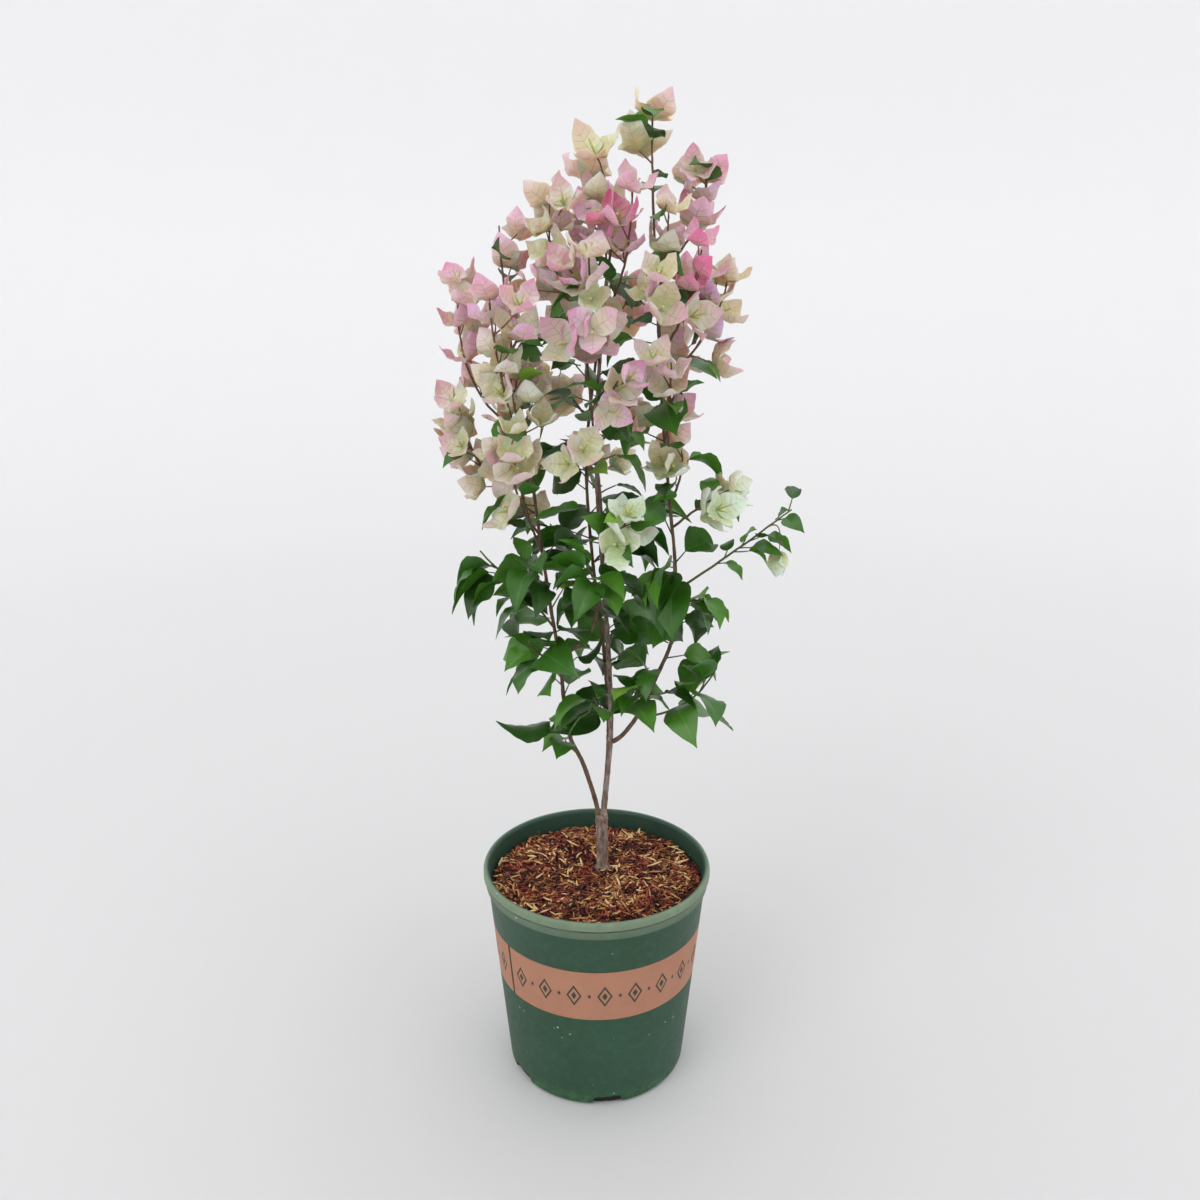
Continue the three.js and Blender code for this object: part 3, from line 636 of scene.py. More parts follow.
# The outline of a bract and of a leaf: half its width at each share of its length.
BRACT_ROWS = np.array((0, 0.04, 0.09, 0.14, 0.153, 0.22, 0.3, 0.313, 0.38, 0.46, 0.473, 0.54, 0.62, 0.633, 0.72, 0.81,
                       0.9, 1))
BRACT_VEINS = (3, 6, 9, 12)  # the narrow rows
BRACT_HALF = np.interp(BRACT_ROWS, (0, 0.05, 0.14, 0.26, 0.4, 0.54, 0.67, 0.79, 0.9, 1),
                       (0.05, 0.5, 0.8, 0.97, 1, 0.93, 0.77, 0.54, 0.27, 0.015))
BRACT_ACROSS = np.array((-1, -0.78, -0.53, -0.27, -0.022, 0.022, 0.27, 0.53, 0.78, 1))
LEAF_ROWS = np.linspace(0, 1, 19)
LEAF_HALF = np.maximum(np.abs(np.sin(math.pi * LEAF_ROWS**0.678)) ** (0.72 + 0.4 * LEAF_ROWS**2), 0.012)
LEAF_ACROSS = np.array((-1, -0.55, -0.035, 0.035, 0.55, 1))
LEAF_VEINS = 5


def blade_grid(blade, rows, half, across, bend, cup, wave, draw, twist=0.0, quilt=0.0, slant=0.0):
    """The points of a bract or leaf. bend gives its long curve, cup lifts its sides and wave ruffles its edge. twist
    turns it along its length, quilt raises it between its side veins and slant turns its rows along them."""
    u, v = rows[:, None], across[None, :]
    u = u + slant * np.abs(v) * np.sin(math.pi * u)
    half = np.interp(u, rows, half)
    length, width = blade["length"], blade["width"]
    phase, second = draw() * 6.28, draw() * 6.28
    rise = bend[0] * u + bend[1] * u**2
    rise = rise + cup * v**2 * np.sqrt(half)
    rise = rise + wave * np.abs(v) ** 1.5 * np.sin(phase + 9.5 * u + 2.4 * np.sign(v)) * half
    rise = rise + wave * 0.3 * np.sin(second + 13 * u) * np.cos(phase + 4.5 * v) * half
    rise = rise + twist * (draw() - 0.5) * v * u * half
    rise = rise - quilt * np.abs(v) ** 0.5 * half * np.cos(2 * math.pi * LEAF_VEINS * (u - 0.2 * np.abs(v)))
    swing = (draw() - 0.5) * 0.12
    x = v * half * width / 2 + swing * length * u**2
    return (
        blade["root"]
        + blade["forward"] * (u * length)[..., None]
        + blade["side"] * x[..., None]
        + blade["face"] * (rise * length)[..., None]
    )


def add_bract(build, blade, draw):
    flush = (draw() - 0.55) * 0.34
    uneven = 1 + 0.07 * np.sin(draw() * 6.28 + 17 * BRACT_ROWS) * BRACT_ROWS
    grid = blade_grid(blade, BRACT_ROWS, BRACT_HALF * uneven, BRACT_ACROSS, (-0.728, 0.83 - 0.24 * draw()),
                      mix(0.04, 0.15, draw()), 0.05 + 0.07 * draw(), draw, twist=0.3, quilt=0.009, slant=0.15)
    centre = (len(BRACT_ACROSS) - 2) / 2

    def slot_of(i, j):
        edge = abs(j - centre) / centre
        if edge == 0 and i < 14 or i in BRACT_VEINS and edge < 0.9:
            return TONES
        u = (BRACT_ROWS[i] + BRACT_ROWS[i + 1]) / 2
        mottle = (draw() - 0.5) * 0.9
        # The tone runs from the foot to the tip and out to the edge. The greenish foot is the bract's own colour,
        # spread further as painted shade deep in the bloom.
        return int(min(max(TONES * (0.74 * u + 0.28 * edge * u**0.3 + flush) + mottle, 0), TONES - 1))

    shell(build, grid, BRACT_THICKNESS, slot_of)


def add_leaf(build, blade, draw, base_slot):
    """A leaf with its own roll about its midrib, curl of its tip and fold along its midrib."""
    roll, curl = (draw() - 0.5) * 1.3, mix(0.02, 0.4, draw())
    face = turned_about(blade["face"], blade["forward"], roll)
    blade = dict(blade, face=face, side=cross(blade["forward"], face))
    first = (LEAF["belly"] + LEAF["widest"] ** 2 * curl) / (LEAF["widest"] - LEAF["widest"] ** 2)
    grid = blade_grid(blade, LEAF_ROWS, LEAF_HALF, LEAF_ACROSS, (first, -curl - first), 0.02 + 0.2 * draw() ** 2,
                      0.02 + 0.045 * draw(), draw, twist=0.3, quilt=0.011)
    shell(build, grid, LEAF_THICKNESS, lambda i, j: base_slot + (1 if j == 2 and i < 16 else 0))


def add_flower(build, blade, axis, draw):
    """A small tube on the bract's middle, with a star of five lobes at its mouth."""
    reach = blade["length"] * mix(*FLOWER["reach"], draw())
    root = blade["root"] + axis * 0.6
    way = unit(blade["forward"] + axis * 0.9)
    path = root + way * np.linspace(0, 1, 5)[:, None] * reach
    tube(build, path, FLOWER["tube"], 6, 0)
    mouth = path[-1]
    side = square_to(blade["side"], way)
    other = cross(way, side)
    spread = mix(*FLOWER["spread"], draw())
    points = [mouth + way * 0.2]
    for k in range(10):
        turn = k * math.pi / 5
        ring = side * math.cos(turn) + other * math.sin(turn)
        out, lift = (spread, 0.9) if k % 2 == 0 else (spread * FLOWER["notch"], 0.5)
        points.append(mouth + ring * out + way * lift)
    points.append(mouth - way * 0.3)
    faces = [(0, 1 + k, 1 + (k + 1) % 10) for k in range(10)] + [(11, 1 + (k + 1) % 10, 1 + k) for k in range(10)]
    build.add(points, faces, 1)


def add_twig(build, start, end, radii, slot, draw):
    """A twig that bends a little between its start and its end."""
    length = math.dist(start, end)
    sway = vec(draw() - 0.5, draw() - 0.5, draw() - 0.7) * length * 0.12
    middle = (start + end) / 2 + sway
    count = max(3, int(length / 7))
    path = bezier((start, middle, end), count)
    tube(build, path, np.linspace(*radii, count + 1), 5, slot)


# ---------- Materials ----------

BUMP = 0.0004  # metres of relief on a fine surface


def linear(red, green, blue):
    """An sRGB colour of 0 to 255 as a linear one."""
    channels = [c / 255 for c in (red, green, blue)]
    return tuple(c / 12.92 if c <= 0.04045 else ((c + 0.055) / 1.055) ** 2.4 for c in channels) + (1,)


def set_input(node, **values):
    for name, value in values.items():
        node.inputs[name.replace("_", " ")].default_value = value


class Shading:
    """A material with its nodes. add() makes a node: a socket given for an input is linked, a value is set. Colours
    are given as sRGB ones of 0 to 255."""

    def __init__(self, name):
        self.material = bpy.data.materials.new(name)
        self.material.use_nodes = True
        self.nodes, self.links = self.material.node_tree.nodes, self.material.node_tree.links
        self.shader = self.nodes["Principled BSDF"]
        self.where = self.nodes.new("ShaderNodeTexCoord").outputs["Object"]

    def feed(self, socket, value):
        if isinstance(value, bpy.types.NodeSocket):
            self.links.new(value, socket)
        else:
            socket.default_value = value

    def add(self, kind, *inputs, **settings):
        node = self.nodes.new("ShaderNode" + kind)
        for name, value in settings.items():
            setattr(node, name, value)
        for name, value in inputs:
            self.feed(node.inputs[name], value)
        return node

    def noise(self, scale, detail=4.0, roughness=0.6, stretch=None):
        place = self.where
        if stretch:
            place = self.add("Mapping", ("Vector", place), ("Scale", stretch)).outputs["Vector"]
        return self.add("TexNoise", ("Vector", place), ("Scale", scale), ("Detail", detail),
                        ("Roughness", roughness)).outputs["Fac"]

    def ranged(self, value, low, high, to_low=0.0, to_high=1.0):
        return self.add("MapRange", ("Value", value), ("From Min", low), ("From Max", high), ("To Min", to_low),
                        ("To Max", to_high)).outputs["Result"]

    def product(self, a, b):
        return self.add("Math", (0, a), (1, b), operation="MULTIPLY").outputs["Value"]

    def ramp(self, value, *stops):
        """A colour that follows the value, from stops of a position and a colour."""
        node = self.add("ValToRGB", ("Fac", value))
        elements, stops = node.color_ramp.elements, [(at, linear(*colour)) for at, colour in stops]
        elements[0].position, elements[0].color = stops[0]
        elements[1].position, elements[1].color = stops[-1]
        for position, colour in stops[1:-1]:
            elements.new(position).color = colour
        return node.outputs["Color"]

    def blend(self, factor, below, above):
        node = self.add("Mix", ("Factor", factor), data_type="RGBA")
        below_input, above_input = (i for i in node.inputs if i.type == "RGBA")
        self.feed(below_input, below)
        self.feed(above_input, linear(*above))
        return next(o for o in node.outputs if o.type == "RGBA")

    def surface(self, colour, grain, roughness, spread, bump_strength, bump_distance, **more):
        self.feed(self.shader.inputs["Base Color"], colour)
        self.feed(self.shader.inputs["Roughness"], self.ranged(grain, 0.0, 1.0, roughness - spread,
                                                               roughness + spread))
        bump = self.add("Bump", ("Height", grain), ("Strength", bump_strength), ("Distance", bump_distance))
        self.feed(self.shader.inputs["Normal"], bump.outputs["Normal"])
        set_input(self.shader, **more)
        return self.material


def plain(name, colour, roughness, scale, bump_strength, **more):
    """A plain base colour with a fine procedural relief and roughness."""
    shading = Shading(name)
    return shading.surface(linear(*colour), shading.noise(scale), roughness, 0.08, bump_strength, BUMP, **more)


def patterned(name, colours, roughness, scale, bump_strength, bump_distance, stretch=None):
    """A colour that wanders over the surface between several, with relief from the same pattern."""
    shading = Shading(name)
    grain = shading.noise(scale, 8.0, 0.65, stretch)
    stops = [(0.3 + 0.4 * i / (len(colours) - 1), colour) for i, colour in enumerate(colours)]
    return shading.surface(shading.ramp(grain, *stops), grain, roughness, 0.1, bump_strength, bump_distance)


# Each tint: the colours of a bract's foot, middle and tip, and of its midrib.
TONES = 7
TINTS = {
    CREAM: ("cream", (196, 198, 146), (222, 216, 192), (222, 206, 202), (196, 180, 138)),
    BLUSH: ("blush", (202, 202, 158), (224, 209, 201), (225, 187, 202), (196, 166, 146)),
    PINK: ("pink", (210, 200, 170), (226, 193, 202), (222, 164, 198), (194, 148, 156)),
    HOT: ("hot_pink", (214, 188, 170), (225, 148, 178), (219, 108, 162), (186, 112, 132)),
    LILAC: ("lilac", (214, 204, 186), (222, 186, 214), (210, 160, 214), (190, 148, 172)),
    WHITE: ("white", (192, 206, 156), (222, 229, 210), (234, 237, 228), (184, 196, 150)),
}


def bract_materials(tint):
    name, foot, middle, tip, rib = TINTS[tint]
    made = []
    for i in range(TONES):
        t = i / (TONES - 1)
        low, high, share = (foot, middle, t * 2) if t < 0.5 else (middle, tip, t * 2 - 1)
        colour = [mix(a, b, share) for a, b in zip(low, high)]
        made.append(plain(f"bract_{name}_{i}", colour, 0.62, 420, 0.35, Subsurface_Weight=0.45,
                          Subsurface_Scale=0.0025))
    made.append(plain(f"bract_{name}_rib", rib, 0.6, 420, 0.2))
    return made


# ---------- The plant ----------

trunk, boughs = make_limbs()
sprays, all_taken = make_sprays(trunk, boughs)
bough_leaves = grow_bough_leaves(boughs, all_taken)


def bark_relief(draw, strength):
    shift = draw() * 50

    def relief(turn, place):
        at = Vector((place[0] * 0.4 + shift, place[1] * 0.4, place[2] * 0.07))
        fine = Vector((place[0] * 1.1, place[1] * 1.1 + shift, place[2] * 0.5))
        ridge = 1 - abs(noise.noise(at)) * 2.2
        knot = math.exp(-(((place[2] + 3 * math.sin(turn) + shift) % 29 - 14) / 2.6) ** 2)
        return strength * (0.35 * ridge + 0.45 * noise.noise(fine) + 0.5 * knot - 0.4)

    return relief


BARK = patterned("bark", [(80, 60, 50), (136, 116, 104), (182, 168, 156)], 0.85, 260, 0.7, 0.0008,
                 (1, 1, 0.35))
YOUNG_BARK = patterned("young_bark", [(66, 44, 36), (104, 76, 58), (128, 108, 82)], 0.7, 240, 0.5,
                       0.0006, (1, 1, 0.3))
RED, GREEN, PEDICEL = range(3)
STEMS = [plain("twig_red", (112, 78, 58), 0.6, 500, 0.4), plain("twig_green", (88, 98, 52), 0.55, 500, 0.4),
         plain("flower_stalk", (134, 88, 70), 0.6, 500, 0.3)]
# Each green of the leaves and its midrib's, and the share of the draw up to which a leaf takes it.
GREENS = [((38, 78, 16), (54, 98, 30), 0.28), ((52, 102, 22), (70, 120, 38), 0.6),
          ((72, 126, 32), (92, 142, 48), 0.88), ((118, 160, 54), (138, 176, 76), 1)]


def build_wood():
    for name, limb, step, sides, material, strength in [
        ("trunk", trunk, 1.0, 40, BARK, 1.7),
        *((name, bough, 2.2, 16, BARK if name == "centre_bough" else YOUNG_BARK, 0.45)
          for name, bough in boughs.items()),
    ]:
        count = int(limb["length"] / step)
        path = np.array([curve_point(limb["points"], i / count) for i in range(count + 1)])
        path[0] -= unit(path[1] - path[0]) * LIMB_ROOT
        share = np.linspace(0, 1, count + 1)
        radii = mix(*limb["radii"], share) + limb["flare"] * np.exp(-6 * share)
        build = Build()
        tube(build, path, radii, sides, 0, bark_relief(seeded(len(name)), strength))
        build.object(name + "_bark", [material], "bark", [name])


def leaf_slot(pick):
    return next(2 * i for i, (_, _, share) in enumerate(GREENS) if pick < share)


def add_hanging_bud(stems, bracts):
    """The closed white bloom that hangs on a long thread from the sprig at the right."""
    draw = seeded(SEEDS["hanging_bud"])
    sprig = next(spray for spray in sprays if spray.name == "sprig_right")
    start, along = along_path(sprig.path, HANGING_BUD["share"])
    end = vec(*HANGING_BUD["foot"])
    path = bezier((start, start + along * 26 + UP * 4, end), 12)
    tube(stems, path, np.linspace(*HANGING_BUD["thread"], len(path)), 6, PEDICEL)
    for k in range(3):
        ray = vec(math.cos(k * 2.09), math.sin(k * 2.09), 0)
        forward = unit(ray * 0.16 - UP)
        face = unit(cross(forward, cross(forward, ray)))
        add_bract(bracts, blade_at(end, forward, face, HANGING_BUD["length"], BLOOM), draw)


def build_sprays():
    stems, bracts, flowers, leaves = Build(), {t: Build() for t in TINTS}, Build(), Build()
    for spray in sprays:
        draw = seeded(spray.seed + SEEDS["dressing"])
        path = bezier(spray.stem, 14)
        sway = [vec(draw() - 0.5, draw() - 0.5, draw() - 0.5) * STEM_SWAY for _ in path]
        path[1:-1] += np.array(sway)[1:-1]
        path[0] -= unit(path[1] - path[0]) * STEM_ROOT
        tube(stems, path, np.linspace(*STEM_RADII, len(path)), 8, RED if spray.blooms > 1 else GREEN)
        leaf_tint = draw()
        for twig in spray.twigs:
            bloom = twig["kind"] == "bloom"
            radii, slot = (BLOOM_STALK, PEDICEL) if bloom else (LEAF_STALK, GREEN)
            add_twig(stems, twig["start"], twig["end"], radii, slot, draw)
            if bloom:
                tints = spray.tints or (WHITE,)
                tint = tints[int(draw() * len(tints))]
                for blade in twig["blades"]:
                    other = tints[int(draw() * len(tints))]
                    add_bract(bracts[tint if draw() < OWN_TINT_SHARE else other], blade, draw)
                    if draw() < FLOWER["share"]:
                        add_flower(flowers, blade, twig["axis"], draw)
            else:
                add_leaf(leaves, twig["blades"][0], draw, leaf_slot(draw() * 0.7 + leaf_tint * 0.3))
    draw = seeded(SEEDS["bough_leaf_dressing"])
    for leaf in bough_leaves:
        add_twig(stems, leaf["start"], leaf["end"], BOUGH_LEAF_STALK, GREEN, draw)
        add_leaf(leaves, leaf["blade"], draw, leaf_slot(draw() * 0.9))
    add_hanging_bud(stems, bracts[WHITE])
    stems.object("spray_stems", STEMS, "bark")
    for tint, build in bracts.items():
        if build.faces:
            build.object("bracts_" + TINTS[tint][0], bract_materials(tint), "bract", sharp=70)
    flowers.object("small_flowers", [plain("flower_tube", (184, 186, 112), 0.5, 500, 0.3),
                                     plain("flower_star", (216, 214, 140), 0.5, 500, 0.3)], "bract")
    materials = []
    for i, (green, rib, _) in enumerate(GREENS):
        materials.append(plain(f"leaf_{i}", green, 0.4, 380, 0.4, Specular_IOR_Level=0.5))
        materials.append(plain(f"leaf_rib_{i}", rib, 0.4, 380, 0.3))
    leaf_piece = leaves.object("leaves", materials, "leaf", sharp=70)
    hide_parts(*(spray.name for spray in sprays))


# ---------- Pot, label and mulch ----------


def wall(z):
    return mix(POT["base"], POT["mouth"], z / (POT["height"] - POT["lower"]))


def lathe(build, profile, segments=192):
    """A closed solid of revolution. The profile runs from the axis, round the outside, and back to the axis."""
    profile = np.array(profile, float)
    points = [(0, 0, profile[0][1]), (0, 0, profile[-1][1])]
    for r, z in profile[1:-1]:
        points += circle(r, z, segments)
    build.add(points, closed_faces(2, len(profile) - 2, segments, 0, 1), 0)


def rounded(corners, radius=0.8, steps=3):
    """A profile with its inner corners rounded off."""
    corners = [np.array(c, float) for c in corners]
    out = [corners[0]]
    for before, at, after in zip(corners, corners[1:], corners[2:]):
        reach = min(radius, math.dist(before, at) * 0.4, math.dist(at, after) * 0.4)
        a, b = at + unit(before - at) * reach, at + unit(after - at) * reach
        out += [(1 - t) ** 2 * a + 2 * (1 - t) * t * at + t * t * b for t in np.linspace(0, 1, steps + 1)]
    return out + [corners[-1]]


# Where the pot's rim changes colour, in metres: each zone fades in from the first to the second height and radius.
RIM_OUTSIDE = (0.2005, 0.2025), (0.1118, 0.1132)
# The top of the lip: a painted highlight.
RIM_LIP_HIGHLIGHT = (0.2188, 0.2194), (0.1128, 0.1122)
# The inner wall near the mouth: greyed, as painted shade.
RIM_INNER_SHADE = (0.197, 0.199), (0.1105, 0.1095)
RIM_UPPER = 0.2105, 0.2115
# The dark stripe at the step: painted shade.
RIM_STEP_SHADE = (0.2092, 0.2099), (0.2125, 0.2118)  # fades in upwards and in downwards
FOOT_WEAR = 0.02, 0.001


def pot_material():
    """Moulded plastic: a dark green wall with specks, scuffs and a worn foot, and a pale rim in two bands."""
    shading = Shading("pot_plastic")
    ranged, product, grain = shading.ranged, shading.product, shading.noise
    place = shading.add("SeparateXYZ", ("Vector", shading.where)).outputs
    flat = shading.add("CombineXYZ", ("X", place["X"]), ("Y", place["Y"])).outputs["Vector"]
    radius = shading.add("VectorMath", (0, flat), operation="LENGTH").outputs["Value"]
    height = place["Z"]
    marks, streaks = grain(120.0, 6.0, 0.75), grain(70.0, 6.0, 0.7, (1, 1, 0.3))

    def zone(heights, radii):
        return product(ranged(height, *heights), ranged(radius, *radii))

    # The rim: faded outside, less so under the step, with stains; a painted highlight on the lip top, painted shade
    # at the step.
    outside = zone(*RIM_OUTSIDE)
    faded = product(outside, ranged(height, *RIM_UPPER, 0.62, 1.0))
    faded = product(faded, ranged(streaks, 0.3, 0.7, 0.7, 1.0))
    line = product(*(ranged(height, *edges) for edges in RIM_STEP_SHADE))
    line = product(line, ranged(streaks, 0.35, 0.6, 0.5, 1.0))
    stains = product(outside, ranged(grain(210.0, 4.0, 0.8), 0.6, 0.68, 0.0, 0.6))
    # The wall: a greener worn foot, fine scratches and a few pale specks.
    foot = product(ranged(height, *FOOT_WEAR), ranged(marks, 0.4, 0.62, 0.0, 0.75))
    scratches = ranged(grain(60.0, 3.0, 0.8, (1, 1, 9)), 0.69, 0.75, 0.0, 0.45)
    cells = shading.add("TexVoronoi", ("Vector", shading.where), ("Scale", 75.0)).outputs["Distance"]
    specks = product(ranged(cells, 0.1, 0.05), ranged(grain(36.0, 2.0), 0.54, 0.62))

    colour = shading.ramp(grain(9.0, 3.0, 0.5), (0.3, (25, 66, 40)), (0.7, (35, 76, 56)))
    for share, above in (
        (ranged(marks, 0.5, 0.75, 0.0, 0.3), (78, 108, 86)),
        (faded, (124, 142, 116)),
        # Painted highlight: the top of the lip is paled all round.
        (product(zone(*RIM_LIP_HIGHLIGHT), 0.5), (104, 132, 110)),
        # Painted shade: the dark stripe at the step.
        (line, (44, 60, 46)),
        # Painted shade: the inner wall near the mouth is greyed.
        (zone(*RIM_INNER_SHADE), (44, 74, 60)),
        (stains, (92, 84, 58)),
        (foot, (70, 122, 62)),
        (scratches, (104, 138, 116)),
        (product(specks, 0.85), (196, 206, 190)),
    ):
        colour = shading.blend(share, colour, above)
    return shading.surface(colour, grain(160.0, 6.0), 0.52, 0.12, 0.2, BUMP)


def ragged(outline, step, draw):
    """A closed outline with a torn edge: more points, each moved a little."""
    points = []
    for a, b in zip(outline, outline[1:] + outline[:1]):
        count = max(1, int(math.dist(a, b) / step))
        for i in range(count):
            x, z = mix(a[0], b[0], i / count), mix(a[1], b[1], i / count)
            wear = 0.9 if z > 0 else 0
            points.append((x + (draw() - 0.5) * wear, z - draw() * wear * 0.8))
    return points


def build_pot():
    h, lower, upper, lip = POT["height"], POT["lower"], POT["upper"], POT["lip"]
    rim, step, corner = POT["rim"], POT["step"], POT["corner"]
    low, high, recess = LABEL["bottom"], LABEL["top"], LABEL["recess"]
    inner = lambda z: wall(z) - POT["wall"]
    arc = [
        (wall(corner) - corner * (1 - math.sin(t)), corner * (1 - math.cos(t)))
        for t in np.linspace(0, math.pi / 2, 7)
    ]
    outside = rounded(
        [
            arc[-1], (wall(low), low), (wall(low) - recess, low), (wall(high) - recess, high), (wall(high), high),
            (POT["mouth"], h - lower), (rim - step - 0.6, h - lower + 0.8), (rim - step, h - upper - 0.8),
            (rim, h - upper), (rim, h - lip), (rim - 1, h - 0.8), (rim - 2.4, h), (rim - 4, h - 0.6),
            (inner(h - lower) + 1, h - lip), (inner(h - lower), h - lower), (inner(POT["floor"]), POT["floor"]),
        ],
        0.7,
    )
    build = Build()
    lathe(build, [(0, 0), *arc[:-1], *outside, (0, POT["floor"])])
    pot = build.object("pot_shell", [pot_material()], "pot", ["pot"])
    cutters = []
    for heading in NOTCH["headings"]:
        w, top, depth = NOTCH["width"], NOTCH["height"], NOTCH["depth"]
        arch = [(-w / 2, -1), (w / 2, -1), (w / 2 - 3, top - 2), (w / 2 - 4.2, top - 0.5), (w / 2 - 7, top),
                (-w / 2 + 7, top), (-w / 2 + 4.2, top - 0.5), (-w / 2 + 3, top - 2)]
        arch = ragged(arch, 1.3, seeded(SEEDS["notches"] + int(heading)))
        near, far = -(POT["base"] + 4), -(POT["base"] + 4 - depth)
        points = [(x, near, z) for x, z in arch] + [(x, far, z) for x, z in arch]
        count = len(arch)
        faces = [tuple(range(count)), tuple(reversed(range(count, 2 * count)))]
        faces += [(k, k + count, (k + 1) % count + count, (k + 1) % count) for k in range(count)]
        turn = math.radians(heading)
        c, s = math.cos(turn), math.sin(turn)
        points = [(x * c - y * s, x * s + y * c, z) for x, y, z in points]
        cutter = link("cutter", new_mesh("cutter", (np.array(points) * MM).tolist(), faces))
        cut = pot.modifiers.new("notch", "BOOLEAN")
        cut.operation, cut.object, cut.solver = "DIFFERENCE", cutter, "EXACT"
        cutters.append(cutter)
    bpy.context.view_layer.update()
    shaped = bpy.data.meshes.new_from_object(pot.evaluated_get(bpy.context.evaluated_depsgraph_get()))
    pot.modifiers.clear()
    pot.data = shaped
    shaped.polygons.foreach_set("use_smooth", [True] * len(shaped.polygons))
    shaped.set_sharp_from_angle(angle=math.radians(40))
    for cutter in cutters:
        bpy.data.objects.remove(cutter)


def band_point(heading, z, out):
    turn = math.radians(heading)
    r = wall(z) + out
    return (r * math.sin(turn), -r * math.cos(turn), z)


def band_patch(build, corners, out, thickness, slot, steps=(4, 4)):
    """A patch bent to the label band. Its four corners are given as (heading in degrees, height)."""
    corners = np.array(corners, float)
    rows = []
    for u in np.linspace(0, 1, steps[0] + 1):
        near, far = mix(corners[0], corners[1], u), mix(corners[3], corners[2], u)
        rows.append([band_point(*mix(near, far, v), out) for v in np.linspace(0, 1, steps[1] + 1)])
    front = np.array(rows)
    back = front * (1 - thickness / 100, 1 - thickness / 100, 1)
    count, columns = front.shape[0] * front.shape[1], front.shape[1]
    faces = []
    for i in range(steps[0]):
        for j in range(steps[1]):
            a = i * columns + j
            quad = (a, a + columns, a + columns + 1, a + 1)
            faces += [quad, tuple(count + k for k in reversed(quad))]
    edge = [i * columns for i in range(steps[0] + 1)]
    edge += [steps[0] * columns + j for j in range(1, columns)]
    edge += [i * columns + columns - 1 for i in range(steps[0] - 1, -1, -1)]
    edge += list(range(columns - 2, 0, -1))
    for a, b in zip(edge, edge[1:] + edge[:1]):
        faces.append((b, a, count + a, count + b))
    build.add(np.concatenate([front.reshape(-1, 3), back.reshape(-1, 3)]), faces, slot)


# The label's ornament: how many lozenges, and the half width and half height of each of its parts.
LOZENGES = dict(count=22, outer=(7.4, 12), inner=(5.4, 8.8), middle=(2.6, 4.4), between=(1.7, 2.6))


def build_label():
    """The printed band, with a plain row of lozenges."""
    low, high = LABEL["bottom"] + CLEARANCE, LABEL["top"] - CLEARANCE
    middle, degree = (low + high) / 2, 180 / math.pi / wall((low + high) / 2)
    gap = LABEL["gap"] * degree
    first, last = LABEL["heading"] + gap / 2, LABEL["heading"] + 360 - gap / 2
    band = patterned("label_print", [(171, 118, 92), (176, 123, 97), (181, 128, 102)], 0.6, 34, 0.15, BUMP)
    ink = plain("label_ink", (52, 60, 46), 0.6, 300, 0.2)
    build = Build()
    band_patch(build, [(first, low), (last, low), (last, high), (first, high)], 0, 0.5, 0, (180, 4))

    def ring(heading, outer, inner):
        sides = [(0, 1), (-1, 0), (0, -1), (1, 0)]
        for (ax, az), (bx, bz) in zip(sides, sides[1:] + sides[:1]):
            corners = [(ax * outer[0], az * outer[1]), (bx * outer[0], bz * outer[1]),
                       (bx * inner[0], bz * inner[1]), (ax * inner[0], az * inner[1])]
            band_patch(build, [(heading + x * degree, middle + z) for x, z in corners], 0.05, 0.3, 1, (6, 2))

    pitch = (last - first) / LOZENGES["count"]
    for k in range(LOZENGES["count"]):
        heading = first + (k + 0.5) * pitch
        ring(heading, LOZENGES["outer"], LOZENGES["inner"])
        ring(heading, LOZENGES["middle"], (0, 0))
        if k < LOZENGES["count"] - 1:
            ring(heading + pitch / 2, LOZENGES["between"], (0, 0))
    build.object("label_band", [band, ink], "label", ["pot_label"], sharp=40)


# The mulch, from its crumbs to its long pale slivers: how many, the ranges of length, width and thickness, how high
# they lie, and how pale they are.
MULCH = [(3600, (2, 6), (1, 2.6), (0.6, 1.6), 2.2, 0.03), (2700, (5, 12), (0.8, 2.2), (0.5, 1.2), 2.8, 0.17),
         (620, (9, 19), (1.2, 2.5), (0.5, 1.1), 3.6, 0.38)]
MULCH_TONES = [(34, 12, 6), (68, 26, 16), (106, 46, 28), (142, 84, 46), (186, 132, 78), (226, 190, 132)]
MULCH_REDS = [(88, 26, 18), (124, 42, 28), (150, 76, 52)]  # the second to fourth tone, where the bark is redder
BARE_FOOT = 8.5  # the ring round the trunk's foot that the slivers leave free


def soil_height(r):
    knots = (0, SOIL["flat"], SOIL["mound_radius"], wall(SOIL["edge"]) - POT["wall"] - CLEARANCE)
    return float(np.interp(r, knots, (SOIL["level"], SOIL["level"], SOIL["mound"], SOIL["edge"])))


def patches(x, y, scale, layer):
    """Smooth noise over the mulch, from -1 to 1."""
    return noise.noise(Vector((x * scale, y * scale, layer)))


